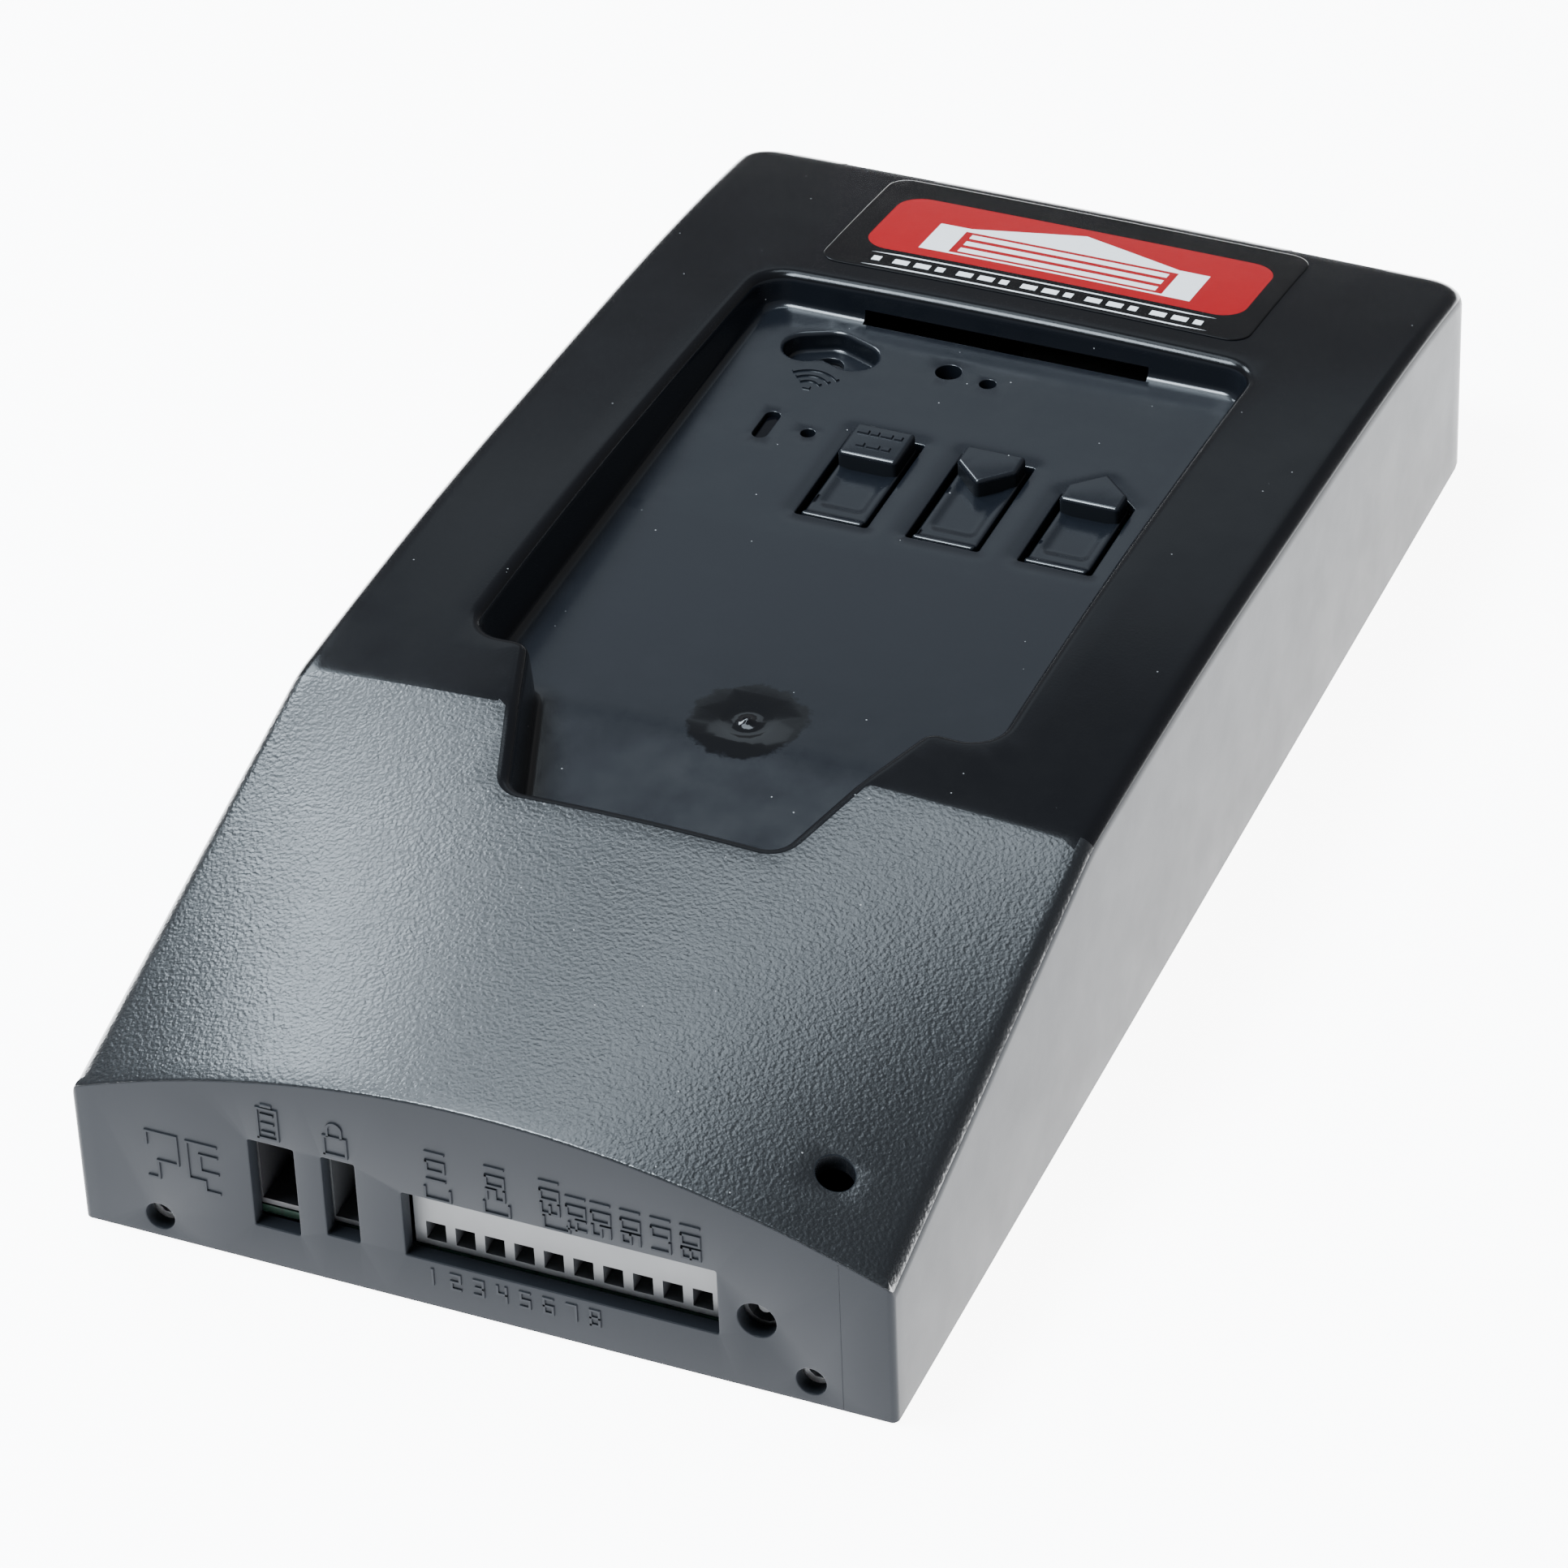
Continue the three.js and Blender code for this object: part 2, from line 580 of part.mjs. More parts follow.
// ---- Buttons and switches ----------------------------------------------------------
function capOutline(kind, x) {
  const far = BUTTON_END;
  if (kind === 'program') return rectangle(x - CAP_HALF, x + CAP_HALF, CAP_START, far);
  const point = kind === 'up' ? far : CAP_START - 0.5;
  const flat = kind === 'up' ? CAP_START : far;
  const shoulder = point + (flat - point) * 0.52;
  return [[x - CAP_HALF, flat], [x - CAP_HALF, shoulder], [x, point], [x + CAP_HALF, shoulder],
    [x + CAP_HALF, flat]];
}

function button(kind, x) {
  const top = (y) => floorHeight(y) - TONGUE_DROP;
  const end = kind === 'up' ? BUTTON_END - CAP_HALF + 0.8 : BUTTON_END;
  const root = BUTTON_ROOT;
  const profile = [
    [root, floorHeight(root) - 0.1], [root + 0.8, floorHeight(root) - 0.1], [root + 2, top(root)],
    [end, top(end)], [end, top(end) - TONGUE_THICK], [root + 1, top(root) - TONGUE_THICK],
    [root, floorHeight(root) - TONGUE_THICK],
  ];
  const capTop = floorHeight(SWITCH_Y) + CAP_RISE;
  const chamfer = 0.4;
  const outline = capOutline(kind, x);
  const centre = [x, (CAP_START + BUTTON_END) / 2];
  const shrunk = outline.map(([a, b]) => [
    a + (centre[0] - a) * chamfer / CAP_HALF, b + (centre[1] - b) * chamfer / CAP_HALF,
  ]);
  return join(
    prism('x', profile, x - TONGUE_HALF, x + TONGUE_HALF),
    prism('z', outline, top(SWITCH_Y) - 0.6, capTop - chamfer),
    prism('z', shrunk, top(SWITCH_Y) - 0.6, capTop),
    rod('z', x, SWITCH_Y, PLUNGER_R, PLUNGER_TOP + GAP, top(SWITCH_Y) - 0.5, SMALL_ROUND),
  );
}

function switchBody(x, y) {
  const half = SWITCH_SIDE / 2;
  const body = prism('z', rectangle(x - half, x + half, y - half, y + half), SWITCH_BASE, SWITCH_TOP);
  return cut(body, rod('z', x, y, PLUNGER_R + GAP, SWITCH_BASE + 0.6, SWITCH_TOP + 1, SMALL_ROUND));
}

const plunger = (x, y, top) => rod('z', x, y, PLUNGER_R, SWITCH_BASE + 1.1, top, SMALL_ROUND);

// ---- Base plate and boards ---------------------------------------------------------
function basePlate() {
  const half = INNER_HALF - GAP;
  const near = INNER_NEAR + GAP;
  const far = INNER_FAR - GAP;
  const pieces = [box(-half, half, near, far, 0, PLATE)];
  for (const side of [-1, 1]) {
    const x = side * (half - PLATE / 2);
    const long = END - FLANGE_FROM_END;
    pieces.push(box(x - PLATE / 2, x + PLATE / 2, -long, long, 0, FLANGE_HEIGHT));
  }
  for (const [x] of COVER_SCREWS) {
    pieces.push(box(x - TAB_WIDTH / 2, x + TAB_WIDTH / 2, near, near + PLATE, 0, TAB_HEIGHT));
    pieces.push(box(x - TAB_WIDTH / 2, x + TAB_WIDTH / 2, far - PLATE, far, 0, 2 * TAB_HEIGHT));
  }
  for (const [x, y] of MAIN_POST_PLACES) {
    pieces.push(rod('z', x, y, POST_R, 0, BOARD_Z - GAP, TINY_ROUND));
  }
  for (const [x, y] of POWER_POSTS) {
    pieces.push(rod('z', x, y, POST_R, 0, BOARD_Z - GAP, TINY_ROUND));
    pieces.push(rod('z', x, y, PEG_R, 0, BOARD_TOP + 1, TINY_ROUND));
  }
  const holes = [];
  for (const side of [-1, 1]) {
    for (const y of [FIXING.yNear, FIXING.yFar]) {
      holes.push(rod('z', side * FIXING.x, y, FIXING.r, -1, PLATE + 1, SMALL_ROUND));
    }
  }
  for (const [x, y] of MAIN_POST_PLACES) {
    holes.push(rod('z', x, y, PILOT_R, PLATE, BOARD_Z, TINY_ROUND));
  }
  for (const [x, z] of COVER_SCREWS) {
    holes.push(rod('y', z, x, PILOT_R, near - 1, near + PLATE + 1, TINY_ROUND));
  }
  holes.push(rod('z', WHEEL_X, WHEEL_Y, HUB_R + 4, -1, PLATE + 1));
  for (let k = 0; k < 5; k += 1) {
    const x = CORE.x + (k - 2) * 9;
    holes.push(box(x - 1.5, x + 1.5, CORE_NEAR, CORE_FAR, -1, PLATE + 1));
  }
  return cut(join(...pieces), ...holes);
}

function mainBoard() {
  const outline = rounded(rectangle(-MAIN_BOARD.x, MAIN_BOARD.x, MAIN_NEAR, MAIN_FAR), 1.5, 2);
  const holes = MAIN_POST_PLACES.map(([x, y]) => rod('z', x, y, PILOT_R, 0, 20, TINY_ROUND));
  return cut(prism('z', outline, BOARD_Z, BOARD_TOP), ...holes);
}

function powerBoard() {
  const { x0, x1 } = POWER_BOARD;
  const outline = rounded(rectangle(x0, x1, POWER_NEAR, POWER_FAR), 1.5, 2);
  const board = prism('z', outline, BOARD_Z, BOARD_TOP);
  return cut(board, ...POWER_POSTS.map(([a, b]) => rod('z', a, b, PEG_R + GAP, 0, 20, TINY_ROUND)));
}

function keypadBoard() {
  const { x0, x1, y0, y1 } = KEY_BOARD;
  const board = prism('z', rounded(rectangle(x0, x1, y0, y1), 1.5, 2), KEY_BOARD_Z, KEY_BOARD_TOP);
  return cut(board, ...KEY_POSTS.map(([a, b]) => rod('z', a, b, PEG_R + GAP, 0, 40, TINY_ROUND)));
}

function terminalBlock() {
  const [x0, x1] = TERMINAL_SLOT;
  const front = INNER_NEAR + 2 * GAP;
  const depth = 11;
  const z0 = BOARD_TOP + GAP;
  const z1 = TERMINAL_SLOT[3] - GAP;
  const block = box(x0 + GAP, x1 - GAP, front, front + depth, z0, z1);
  const first = (x0 + x1 - (TERMINALS - 1) * TERMINAL_PITCH) / 2;
  const tools = [];
  for (let k = 0; k < TERMINALS; k += 1) {
    const x = first + k * TERMINAL_PITCH;
    tools.push(box(x - 1.7, x + 1.7, front - 1, front + 5, z0 + 1.2, z0 + 4.8));
    tools.push(box(x - 1.7, x + 1.7, front + 3.5, front + 8, z1 - 3, z1 + 1));
  }
  return cut(block, ...tools);
}

function socket(slot, depth) {
  const [x0, x1, , z1] = slot;
  const z0 = BOARD_TOP + GAP;
  const front = INNER_NEAR + 2 * GAP;
  const wall = 1;
  const body = box(x0 - wall, x1 + wall, front, front + depth, z0, z1 - 1);
  return cut(body, box(x0, x1, front - 1, front + depth - 3, z0 + wall, z1 - 1 - wall));
}

function powerJack() {
  const half = 5;
  const front = INNER_NEAR + 2 * GAP;
  const body = box(JACK.x - half, JACK.x + half, front, front + 11, BOARD_TOP + GAP, JACK.z + half);
  return cut(body, ring('y', JACK.z, JACK.x, JACK.r - 0.4, 1.1, front - 1, front + 7, SMALL_ROUND));
}

// A block on the main board. Y is measured from the inside of the terminal end's wall.
function onBoard(x, fromWall, wide, deep, high) {
  const y = INNER_NEAR + fromWall;
  const z = BOARD_TOP + GAP;
  return box(x - wide / 2, x + wide / 2, y - deep / 2, y + deep / 2, z, z + high);
}

function heatsink() {
  const fins = 7;
  const pitch = 5.5;
  const base = onBoard(20, 85.9, pitch * (fins - 1) + 1.5, 3, 22);
  const plates = Array.from({ length: fins }, (_, k) => (
    onBoard(20 + (k - (fins - 1) / 2) * pitch, 90.9, 1.5, 12, 22)
  ));
  return join(base, ...plates);
}

function microcontroller() {
  const fromWall = 55.9;
  const pitch = 1.6;
  const legs = Array.from({ length: 8 }, (_, k) => (
    onBoard(-14, fromWall + (k - 3.5) * pitch, 15, 0.7, 0.5)
  ));
  const mark = rod('z', -18, INNER_NEAR + fromWall + 5, 0.6, BOARD_TOP + 1.6, 20, TINY_ROUND);
  return cut(join(onBoard(-14, fromWall, 12, 14, 1.9), ...legs), mark);
}

function buzzer() {
  const top = BOARD_TOP + 9.5;
  const y = INNER_NEAR + 57.9;
  return cut(
    rod('z', 30, y, 6, BOARD_TOP + GAP, top),
    rod('z', 30, y, 1, top - 1.5, top + 1, TINY_ROUND),
  );
}

const radioModule = () => join(onBoard(-40, 71.9, 16, 24, 1), onBoard(-40, 73.9, 13, 15, 3.2));

function screw(x, y, seat, length) {
  const head = rod('z', x, y, HEAD_R, seat, seat + HEAD_HEIGHT, SMALL_ROUND);
  const top = seat + HEAD_HEIGHT;
  return cut(
    join(head, rod('z', x, y, SCREW_R, seat - length, seat + 0.5, TINY_ROUND)),
    box(x - 1.6, x + 1.6, y - 0.3, y + 0.3, top - 0.8, top + 1),
    box(x - 0.3, x + 0.3, y - 1.6, y + 1.6, top - 0.8, top + 1),
  );
}

// ---- Worm drive --------------------------------------------------------------------
const TOOTH_PITCH = Math.PI * MODULE;
const WHEEL_PITCH_R = MODULE * WHEEL_TEETH / 2;
const LEAD_ANGLE = Math.atan(TOOTH_PITCH / (2 * Math.PI * WORM_PITCH_R));

function wormWheel() {
  const outline = [];
  const tooth = 2 * Math.PI / WHEEL_TEETH;
  const widths = [
    [WHEEL_PITCH_R - DEDENDUM, TOOTH_SHARE * 1.3], [WHEEL_PITCH_R + ADDENDUM, TOOTH_SHARE * 0.65],
  ];
  for (let k = 0; k < WHEEL_TEETH; k += 1) {
    const middle = k * tooth - Math.PI / 2;
    const half = widths.map(([r, share]) => [r, share * tooth / 2]);
    outline.push([half[0][0], middle - half[0][1]], [half[1][0], middle - half[1][1]]);
    outline.push([half[1][0], middle + half[1][1]], [half[0][0], middle + half[0][1]]);
  }
  const twist = Math.tan(LEAD_ANGLE) * WHEEL_WIDTH / 2 / WHEEL_PITCH_R;
  const layer = (z, turn) => outline.map(([r, a]) => [
    WHEEL_X + r * Math.cos(a + turn), WHEEL_Y + r * Math.sin(a + turn), z,
  ]);
  const hubFace = HUB_HEX_R + GAP;
  return cut(
    starLoft(layer(WHEEL_Z, -twist), layer(WHEEL_Z + WHEEL_WIDTH, twist), WHEEL_X, WHEEL_Y),
    prism('z', circle(WHEEL_X, WHEEL_Y, hubFace, 6), WHEEL_Z - 1, WHEEL_Z + WHEEL_WIDTH + 1),
    ring('z', WHEEL_X, WHEEL_Y, WHEEL_PITCH_R - 4, HUB_HEX_R + 4, WHEEL_Z + 7, WHEEL_Z + 20),
    ring('z', WHEEL_X, WHEEL_Y, WHEEL_PITCH_R - 4, HUB_HEX_R + 4, WHEEL_Z - 10, WHEEL_Z + 3),
  );
}

// Two rings that are star-shaped about a centre, closed with fans to that centre.
function starLoft(lower, upper, x, y) {
  const count = lower.length;
  const position = [...lower, ...upper, [x, y, lower[0][2]], [x, y, upper[0][2]]].flat();
  const index = [];
  for (let i = 0; i < count; i += 1) {
    const j = (i + 1) % count;
    index.push(i, j, count + i, j, count + j, count + i);
    index.push(2 * count, j, i, 2 * count + 1, count + i, count + j);
  }
  const geometry = new THREE.BufferGeometry();
  geometry.setAttribute('position', new THREE.Float32BufferAttribute(position, 3));
  geometry.setIndex(index);
  return toSolid(geometry);
}

// Single-start thread: the radius follows the distance from the nearest crest.
function worm() {
  const sides = SMALL_ROUND;
  const stations = 44;
  const root = WORM_PITCH_R - DEDENDUM;
  const crest = WORM_PITCH_R + ADDENDUM;
  const radius = (x, turn) => {
    const along = x - WHEEL_X - TOOTH_PITCH / 2 - TOOTH_PITCH * turn / (2 * Math.PI);
    const away = Math.abs(along / TOOTH_PITCH - Math.round(along / TOOTH_PITCH));
    const flat = TOOTH_SHARE * 0.32;
    const foot = TOOTH_SHARE * 0.68;
    const rise = THREE.MathUtils.clamp((foot - away) / (foot - flat), 0, 1);
    const taper = THREE.MathUtils.clamp((WORM_HALF - Math.abs(x - WHEEL_X)) / 2, 0, 1);
    return root + (crest - root) * rise * taper;
  };
  const rings = [];
  for (let s = 0; s <= stations; s += 1) {
    const x = WHEEL_X - WORM_HALF + 2 * WORM_HALF * s / stations;
    rings.push(Array.from({ length: sides }, (_, i) => {
      const turn = 2 * Math.PI * i / sides;
      const r = radius(x, turn);
      return [x, WORM_Y + r * Math.cos(turn), AXLE_Z + r * Math.sin(turn)];
    }));
  }
  const reversed = rings.map((points) => [...points].reverse());
  return cut(
    loft(reversed),
    rod('x', WORM_Y, AXLE_Z, SHAFT_R + GAP, WHEEL_X - 20, WHEEL_X + 20, SMALL_ROUND),
  );
}

function gearboxOutline(z0, z1, inset) {
  const radius = WHEEL_PITCH_R + ADDENDUM + 1.5 + GEAR_WALL - inset;
  const { x0, x1, y0 } = WORM_BOX;
  return join(
    rod('z', WHEEL_X, WHEEL_Y, radius, z0, z1, 40),
    box(x0 + inset, x1 - inset, y0 + inset, WHEEL_Y - 20, z0, z1),
  );
}

const EARS = [-1, 1].map((side) => [WHEEL_X + side * (WHEEL_PITCH_R + ADDENDUM + 7.4), WHEEL_Y]);

function gearboxHousing() {
  const z0 = PLATE + GAP;
  const ears = EARS.map(([x, y]) => rod('z', x, y, EAR_R, z0, GEAR_PARTING, SMALL_ROUND));
  const webs = EARS.map(([x, y]) => {
    const inner = WHEEL_X + Math.sign(x - WHEEL_X) * (WHEEL_PITCH_R + 3.3);
    return box(Math.min(x, inner), Math.max(x, inner), y - 3, y + 3, z0, GEAR_PARTING);
  });
  const boss = rod('z', WHEEL_X, WHEEL_Y, HUB_R + BUSH_WALL + 3, z0, WHEEL_Z - 4);
  const bore = rod('z', WHEEL_X, WHEEL_Y, HUB_R + BUSH_WALL + GAP, 0, WHEEL_Z);
  const shell = cut(
    join(gearboxOutline(z0, GEAR_PARTING, 0), ...ears, ...webs),
    gearboxOutline(z0 + GEAR_WALL, GEAR_PARTING + 1, GEAR_WALL),
    ...EARS.map(([x, y]) => rod('z', x, y, PILOT_R, 8, GEAR_PARTING + 1, TINY_ROUND)),
  );
  const shaftBore = rod('x', WORM_Y, AXLE_Z, SHAFT_R + BUSH_WALL + GAP, -10, 60);
  return cut(shell.add(boss), bore, shaftBore);
}

function gearboxCover() {
  const z0 = GEAR_PARTING + GAP;
  const z1 = z0 + GEAR_LID;
  const { x0, x1, y0 } = WORM_BOX;
  const yInner = WORM_Y + WORM_PITCH_R + 6;
  const ears = EARS.map(([x, y]) => rod('z', x, y, EAR_R, z0, z0 + 1.2, SMALL_ROUND));
  const webs = EARS.map(([x, y]) => (
    box(Math.min(x, WHEEL_X), Math.max(x, WHEEL_X), y - 3, y + 3, z0, z0 + 1.2)
  ));
  const dome = box(x0, x1, y0, yInner, z0, WORM_LID_TOP);
  const domeRoom = box(x0 + GEAR_WALL, x1 - GEAR_WALL, y0 + GEAR_WALL, yInner - GEAR_WALL, z0 - 1,
    WORM_LID_TOP - 1.8);
  return cut(
    join(gearboxOutline(z0, z1, 0), ...ears, ...webs, dome),
    domeRoom,
    rod('z', WHEEL_X, WHEEL_Y, HUB_TOP_R + BUSH_WALL + GAP, 20, 40),
    ...EARS.map(([x, y]) => rod('z', x, y, PILOT_R, 20, 40, TINY_ROUND)),
  );
}

function splineOutline() {
  const points = [];
  for (let k = 0; k < HUB_SPLINES * 4; k += 1) {
    const r = k % 4 < 2 ? HUB_SOCKET_R : HUB_SOCKET_R - 1;
    const turn = 2 * Math.PI * (k + 0.5) / (HUB_SPLINES * 4);
    points.push([WHEEL_X + r * Math.cos(turn), WHEEL_Y + r * Math.sin(turn)]);
  }
  return points;
}

function outputHub() {
  const body = join(
    rod('z', WHEEL_X, WHEEL_Y, HUB_R, HUB_RECESS, WHEEL_Z + 1),
    prism('z', circle(WHEEL_X, WHEEL_Y, HUB_HEX_R, 6), WHEEL_Z - 0.2, WHEEL_Z + WHEEL_WIDTH),
    rod('z', WHEEL_X, WHEEL_Y, HUB_TOP_R, WHEEL_Z + WHEEL_WIDTH - 1, HUB_TOP - 0.9),
    rod('z', WHEEL_X, WHEEL_Y, HUB_TOP_R - 1, HUB_TOP - 1, HUB_TOP),
  );
  return cut(body, prism('z', splineOutline(), HUB_RECESS - 1, HUB_RECESS + HUB_SOCKET_DEPTH));
}

function hubCirclip() {
  const z0 = GEAR_PARTING + GAP + GEAR_LID + GAP;
  const full = ring('z', WHEEL_X, WHEEL_Y, HUB_TOP_R + 1.6, HUB_TOP_R - 1 + GAP, z0, z0 + 0.7);
  return cut(full, box(WHEEL_X - 1.5, WHEEL_X + 1.5, WHEEL_Y, WHEEL_Y + 20, z0 - 1, z0 + 2));
}

// ---- Motor -------------------------------------------------------------------------
const MOTOR_REAR = MOTOR_FRONT - MOTOR_LENGTH;
const CAP_PLUG = 4;
const onAxle = (radius, x0, x1, sides = ROUND) => rod('x', WORM_Y, AXLE_Z, radius, x0, x1, sides);
const sleeve = (outer, inner, x0, x1) => ring('x', WORM_Y, AXLE_Z, outer, inner, x0, x1);

const motorCan = () => cut(
  onAxle(MOTOR_R, MOTOR_REAR, MOTOR_FRONT, 32),
  onAxle(MOTOR_R - MOTOR_WALL, MOTOR_REAR - 1, MOTOR_FRONT - MOTOR_WALL, 32),
  onAxle(SHAFT_R + BUSH_WALL + GAP, MOTOR_REAR, MOTOR_FRONT + 1),
);

const motorEndCap = () => cut(
  onAxle(MOTOR_R - MOTOR_WALL - GAP, MOTOR_REAR - 1, MOTOR_REAR + CAP_PLUG, 32),
  onAxle(MOTOR_R - MOTOR_WALL - 3, MOTOR_REAR + 1.5, MOTOR_REAR + CAP_PLUG + 1),
  onAxle(SHAFT_R + BUSH_WALL + GAP, MOTOR_REAR - 2, MOTOR_REAR + CAP_PLUG + 1),
);

function armature() {
  const points = [];
  const perPole = 6;
  for (let k = 0; k < POLES * perPole; k += 1) {
    const r = k % perPole === 0 ? ARMATURE_R * 0.5 : ARMATURE_R;
    const turn = 2 * Math.PI * k / (POLES * perPole);
    points.push([WORM_Y + r * Math.cos(turn), AXLE_Z + r * Math.sin(turn)]);
  }
  const x0 = MOTOR_REAR + 16;
  return prism('x', points, x0, MOTOR_FRONT - 9, [circle(WORM_Y, AXLE_Z, SHAFT_R + GAP, SMALL_ROUND)]);
}

function magnet(side) {
  const outer = MOTOR_R - MOTOR_WALL - GAP;
  const steps = 10;
  const spread = Math.PI * 0.36;
  const arc = (r, flip) => Array.from({ length: steps + 1 }, (_, k) => {
    const turn = side * Math.PI / 2 + flip * spread * (1 - 2 * k / steps);
    return [WORM_Y + r * Math.cos(turn), AXLE_Z + r * Math.sin(turn)];
  });
  const outline = [...arc(outer, 1), ...arc(outer - MAGNET_THICK, -1)];
  return prism('x', outline, MOTOR_REAR + 14, MOTOR_FRONT - 6);
}

function encoderWheel() {
  const rim = [];
  for (let k = 0; k < ENCODER_SLOTS * 4; k += 1) {
    const r = k % 4 < 2 ? ENCODER_R : ENCODER_R - 3;
    const turn = 2 * Math.PI * k / (ENCODER_SLOTS * 4);
    rim.push([WORM_Y + r * Math.cos(turn), AXLE_Z + r * Math.sin(turn)]);
  }
  const bore = circle(WORM_Y, AXLE_Z, SHAFT_R + GAP, SMALL_ROUND);
  const disc = prism('x', rim, SHAFT_START + 1, SHAFT_START + 2.2, [bore]);
  return disc.add(prism('x', circle(WORM_Y, AXLE_Z, SHAFT_R + 2), SHAFT_START + 1, SHAFT_START + 5, [bore]));
}

function encoderSensor() {
  const z0 = PLATE + GAP;
  const low = AXLE_Z - ENCODER_R - 1;
  return cut(
    box(SHAFT_START - 2, SHAFT_START + 6, WORM_Y - 4, WORM_Y + 4, z0, low + 4),
    box(SHAFT_START, SHAFT_START + 3.4, WORM_Y - 10, WORM_Y + 10, low, low + 10),
  );
}

// ---- Transformer, power board and cable --------------------------------------------
const CORE_Z = PLATE + GAP;
const CORE_TOP = CORE_Z + CORE.height;

function transformerCore() {
  const { x, width, leg } = CORE;
  const half = width / 2;
  const inner = half - leg;
  const centre = leg * 1.25;
  const window = (x0, x1) => box(x0, x1, CORE_NEAR - 1, CORE_FAR + 1, CORE_Z + leg, CORE_TOP - leg);
  return cut(
    box(x - half, x + half, CORE_NEAR, CORE_FAR, CORE_Z, CORE_TOP),
    window(x - inner, x - centre),
    window(x + centre, x + inner),
  );
}

function transformerCoil() {
  const { x, width, leg } = CORE;
  const half = width / 2 - leg - GAP;
  const centre = leg * 1.25 + GAP;
  const ends = [CORE_NEAR - COIL_OVERHANG, CORE_FAR + COIL_OVERHANG];
  const outline = rounded(rectangle(x - half, x + half, ...ends), 5);
  const hole = rectangle(x - centre, x + centre, CORE_NEAR - GAP, CORE_FAR + GAP);
  return prism('z', outline, CORE_Z + leg + GAP, CORE_TOP - leg - GAP, [hole.reverse()]);
}

function smoothingCapacitor() {
  const x = 44;
  const y = POWER_NEAR + 28;
  const r = 9;
  const z0 = BOARD_TOP + GAP;
  const top = z0 + 22;
  return cut(
    rod('z', x, y, r, z0, top),
    ring('z', x, y, r + 1, r - 0.6, z0 + 3, z0 + 4),
    box(x - 6, x + 6, y - 0.3, y + 0.3, top - 0.4, top + 1),
  );
}

// Flat cable from the keypad board down to the main board.
function ribbonCable() {
  const x = -26;
  const half = 6;
  const thick = 0.8;
  const low = BOARD_TOP + GAP;
  const high = KEY_BOARD_TOP + GAP + thick;
  const sag = 0.25;
  const crest = (AXLE_Z + MOTOR_R + floorHeight(0) - WALL + thick) / 2 - sag;
  const end = MAIN_FAR - 3;
  const top = [[KEY_BOARD.y0 + 4, high], [KEY_BOARD.y0 - 3, high + 1], [12, crest], [-7, crest],
    [-22, crest - 0.4], [-32, 30], [end - 1, 20], [end - 1, low]];
  const curve = new THREE.SplineCurve(top.map(([y, z]) => new THREE.Vector2(y, z)));
  const steps = 20;
  const line = curve.getPoints(steps);
  const outline = line.map((p) => [p.x, p.y]);
  const back = line.map((p, i) => {
    const tangent = curve.getTangent(i / steps);
    return [p.x - tangent.y * thick, p.y + tangent.x * thick];
  });
  return prism('x', [...outline, ...back.reverse()], x - half, x + half);
}

// ---- Assembly ----------------------------------------------------------------------
const finish = (color, roughness, metalness = 0) => ({ color, roughness, metalness });
const BLACK_ABS = finish(0x1b1d21, 0.5);
const STEEL = finish(0xb9bcc0, 0.4, 0.9);
const BRASS = finish(0xb08a45, 0.35, 0.9);
const BOARD_GREEN = finish(0x2c5a3c, 0.6);
const PALE_NYLON = finish(0xd9dadb, 0.5);
const DARK_PLASTIC = finish(0x15161a, 0.5);
const COPPER = finish(0xa5562a, 0.4, 0.8);
const FERRITE = finish(0x3a3a3e, 0.7, 0.3);

const opener = new THREE.Group();

function place(name, solid, look) {
  const mesh = new THREE.Mesh(toGeometry(solid), new THREE.MeshStandardMaterial(look));
  mesh.name = name;
  opener.add(mesh);
}

place('cover', cover(), BLACK_ABS);
place('label', label(), finish(0x232225, 0.6));
place('base_plate', basePlate(), STEEL);

KINDS.forEach((kind, i) => {
  place(`${kind}_button`, button(kind, BUTTON_X[i]), BLACK_ABS);
  place(`${kind}_switch`, switchBody(BUTTON_X[i], SWITCH_Y), DARK_PLASTIC);
  place(`${kind}_plunger`, plunger(BUTTON_X[i], SWITCH_Y, PLUNGER_TOP), PALE_NYLON);
});
place('network_switch', switchBody(NETWORK_X, NETWORK_Y), DARK_PLASTIC);
place('network_plunger', plunger(NETWORK_X, NETWORK_Y, SWITCH_TOP + 0.6), PALE_NYLON);
place('keypad_board', keypadBoard(), BOARD_GREEN);

const lens = LENS_SLOT;
const lensTop = floorHeight(lens.y) - 1;
const lensOutline = rounded(rectangle(
  lens.x - lens.half + GAP,
  lens.x + lens.half - GAP,
  lens.y - lens.long + GAP,
  lens.y + lens.long - GAP,
), (lens.half - GAP) * 0.98);
place('status_lens', prism('z', lensOutline, KEY_BOARD_TOP + GAP, lensTop), finish(0x30343a, 0.3));

place('main_board', mainBoard(), BOARD_GREEN);
place('terminal_block', terminalBlock(), PALE_NYLON);
place('lock_connector', socket(LOCK_SLOT, 11), PALE_NYLON);
place('battery_connector', socket(BATTERY_SLOT, 13), DARK_PLASTIC);
place('power_jack', powerJack(), PALE_NYLON);
place('open_relay', onBoard(-46, 25.9, 16, 20, 15), finish(0x24406e, 0.5));
place('close_relay', onBoard(-26, 25.9, 16, 20, 15), finish(0x24406e, 0.5));
place('heatsink', heatsink(), finish(0x8c8f94, 0.5, 0.8));
place('microcontroller', microcontroller(), DARK_PLASTIC);
place('buzzer', buzzer(), DARK_PLASTIC);
place('radio_module', radioModule(), STEEL);
MAIN_POST_PLACES.forEach(([x, y], i) => {
  place(`board_screw_${i + 1}`, screw(x, y, BOARD_TOP + GAP, 6), STEEL);
});

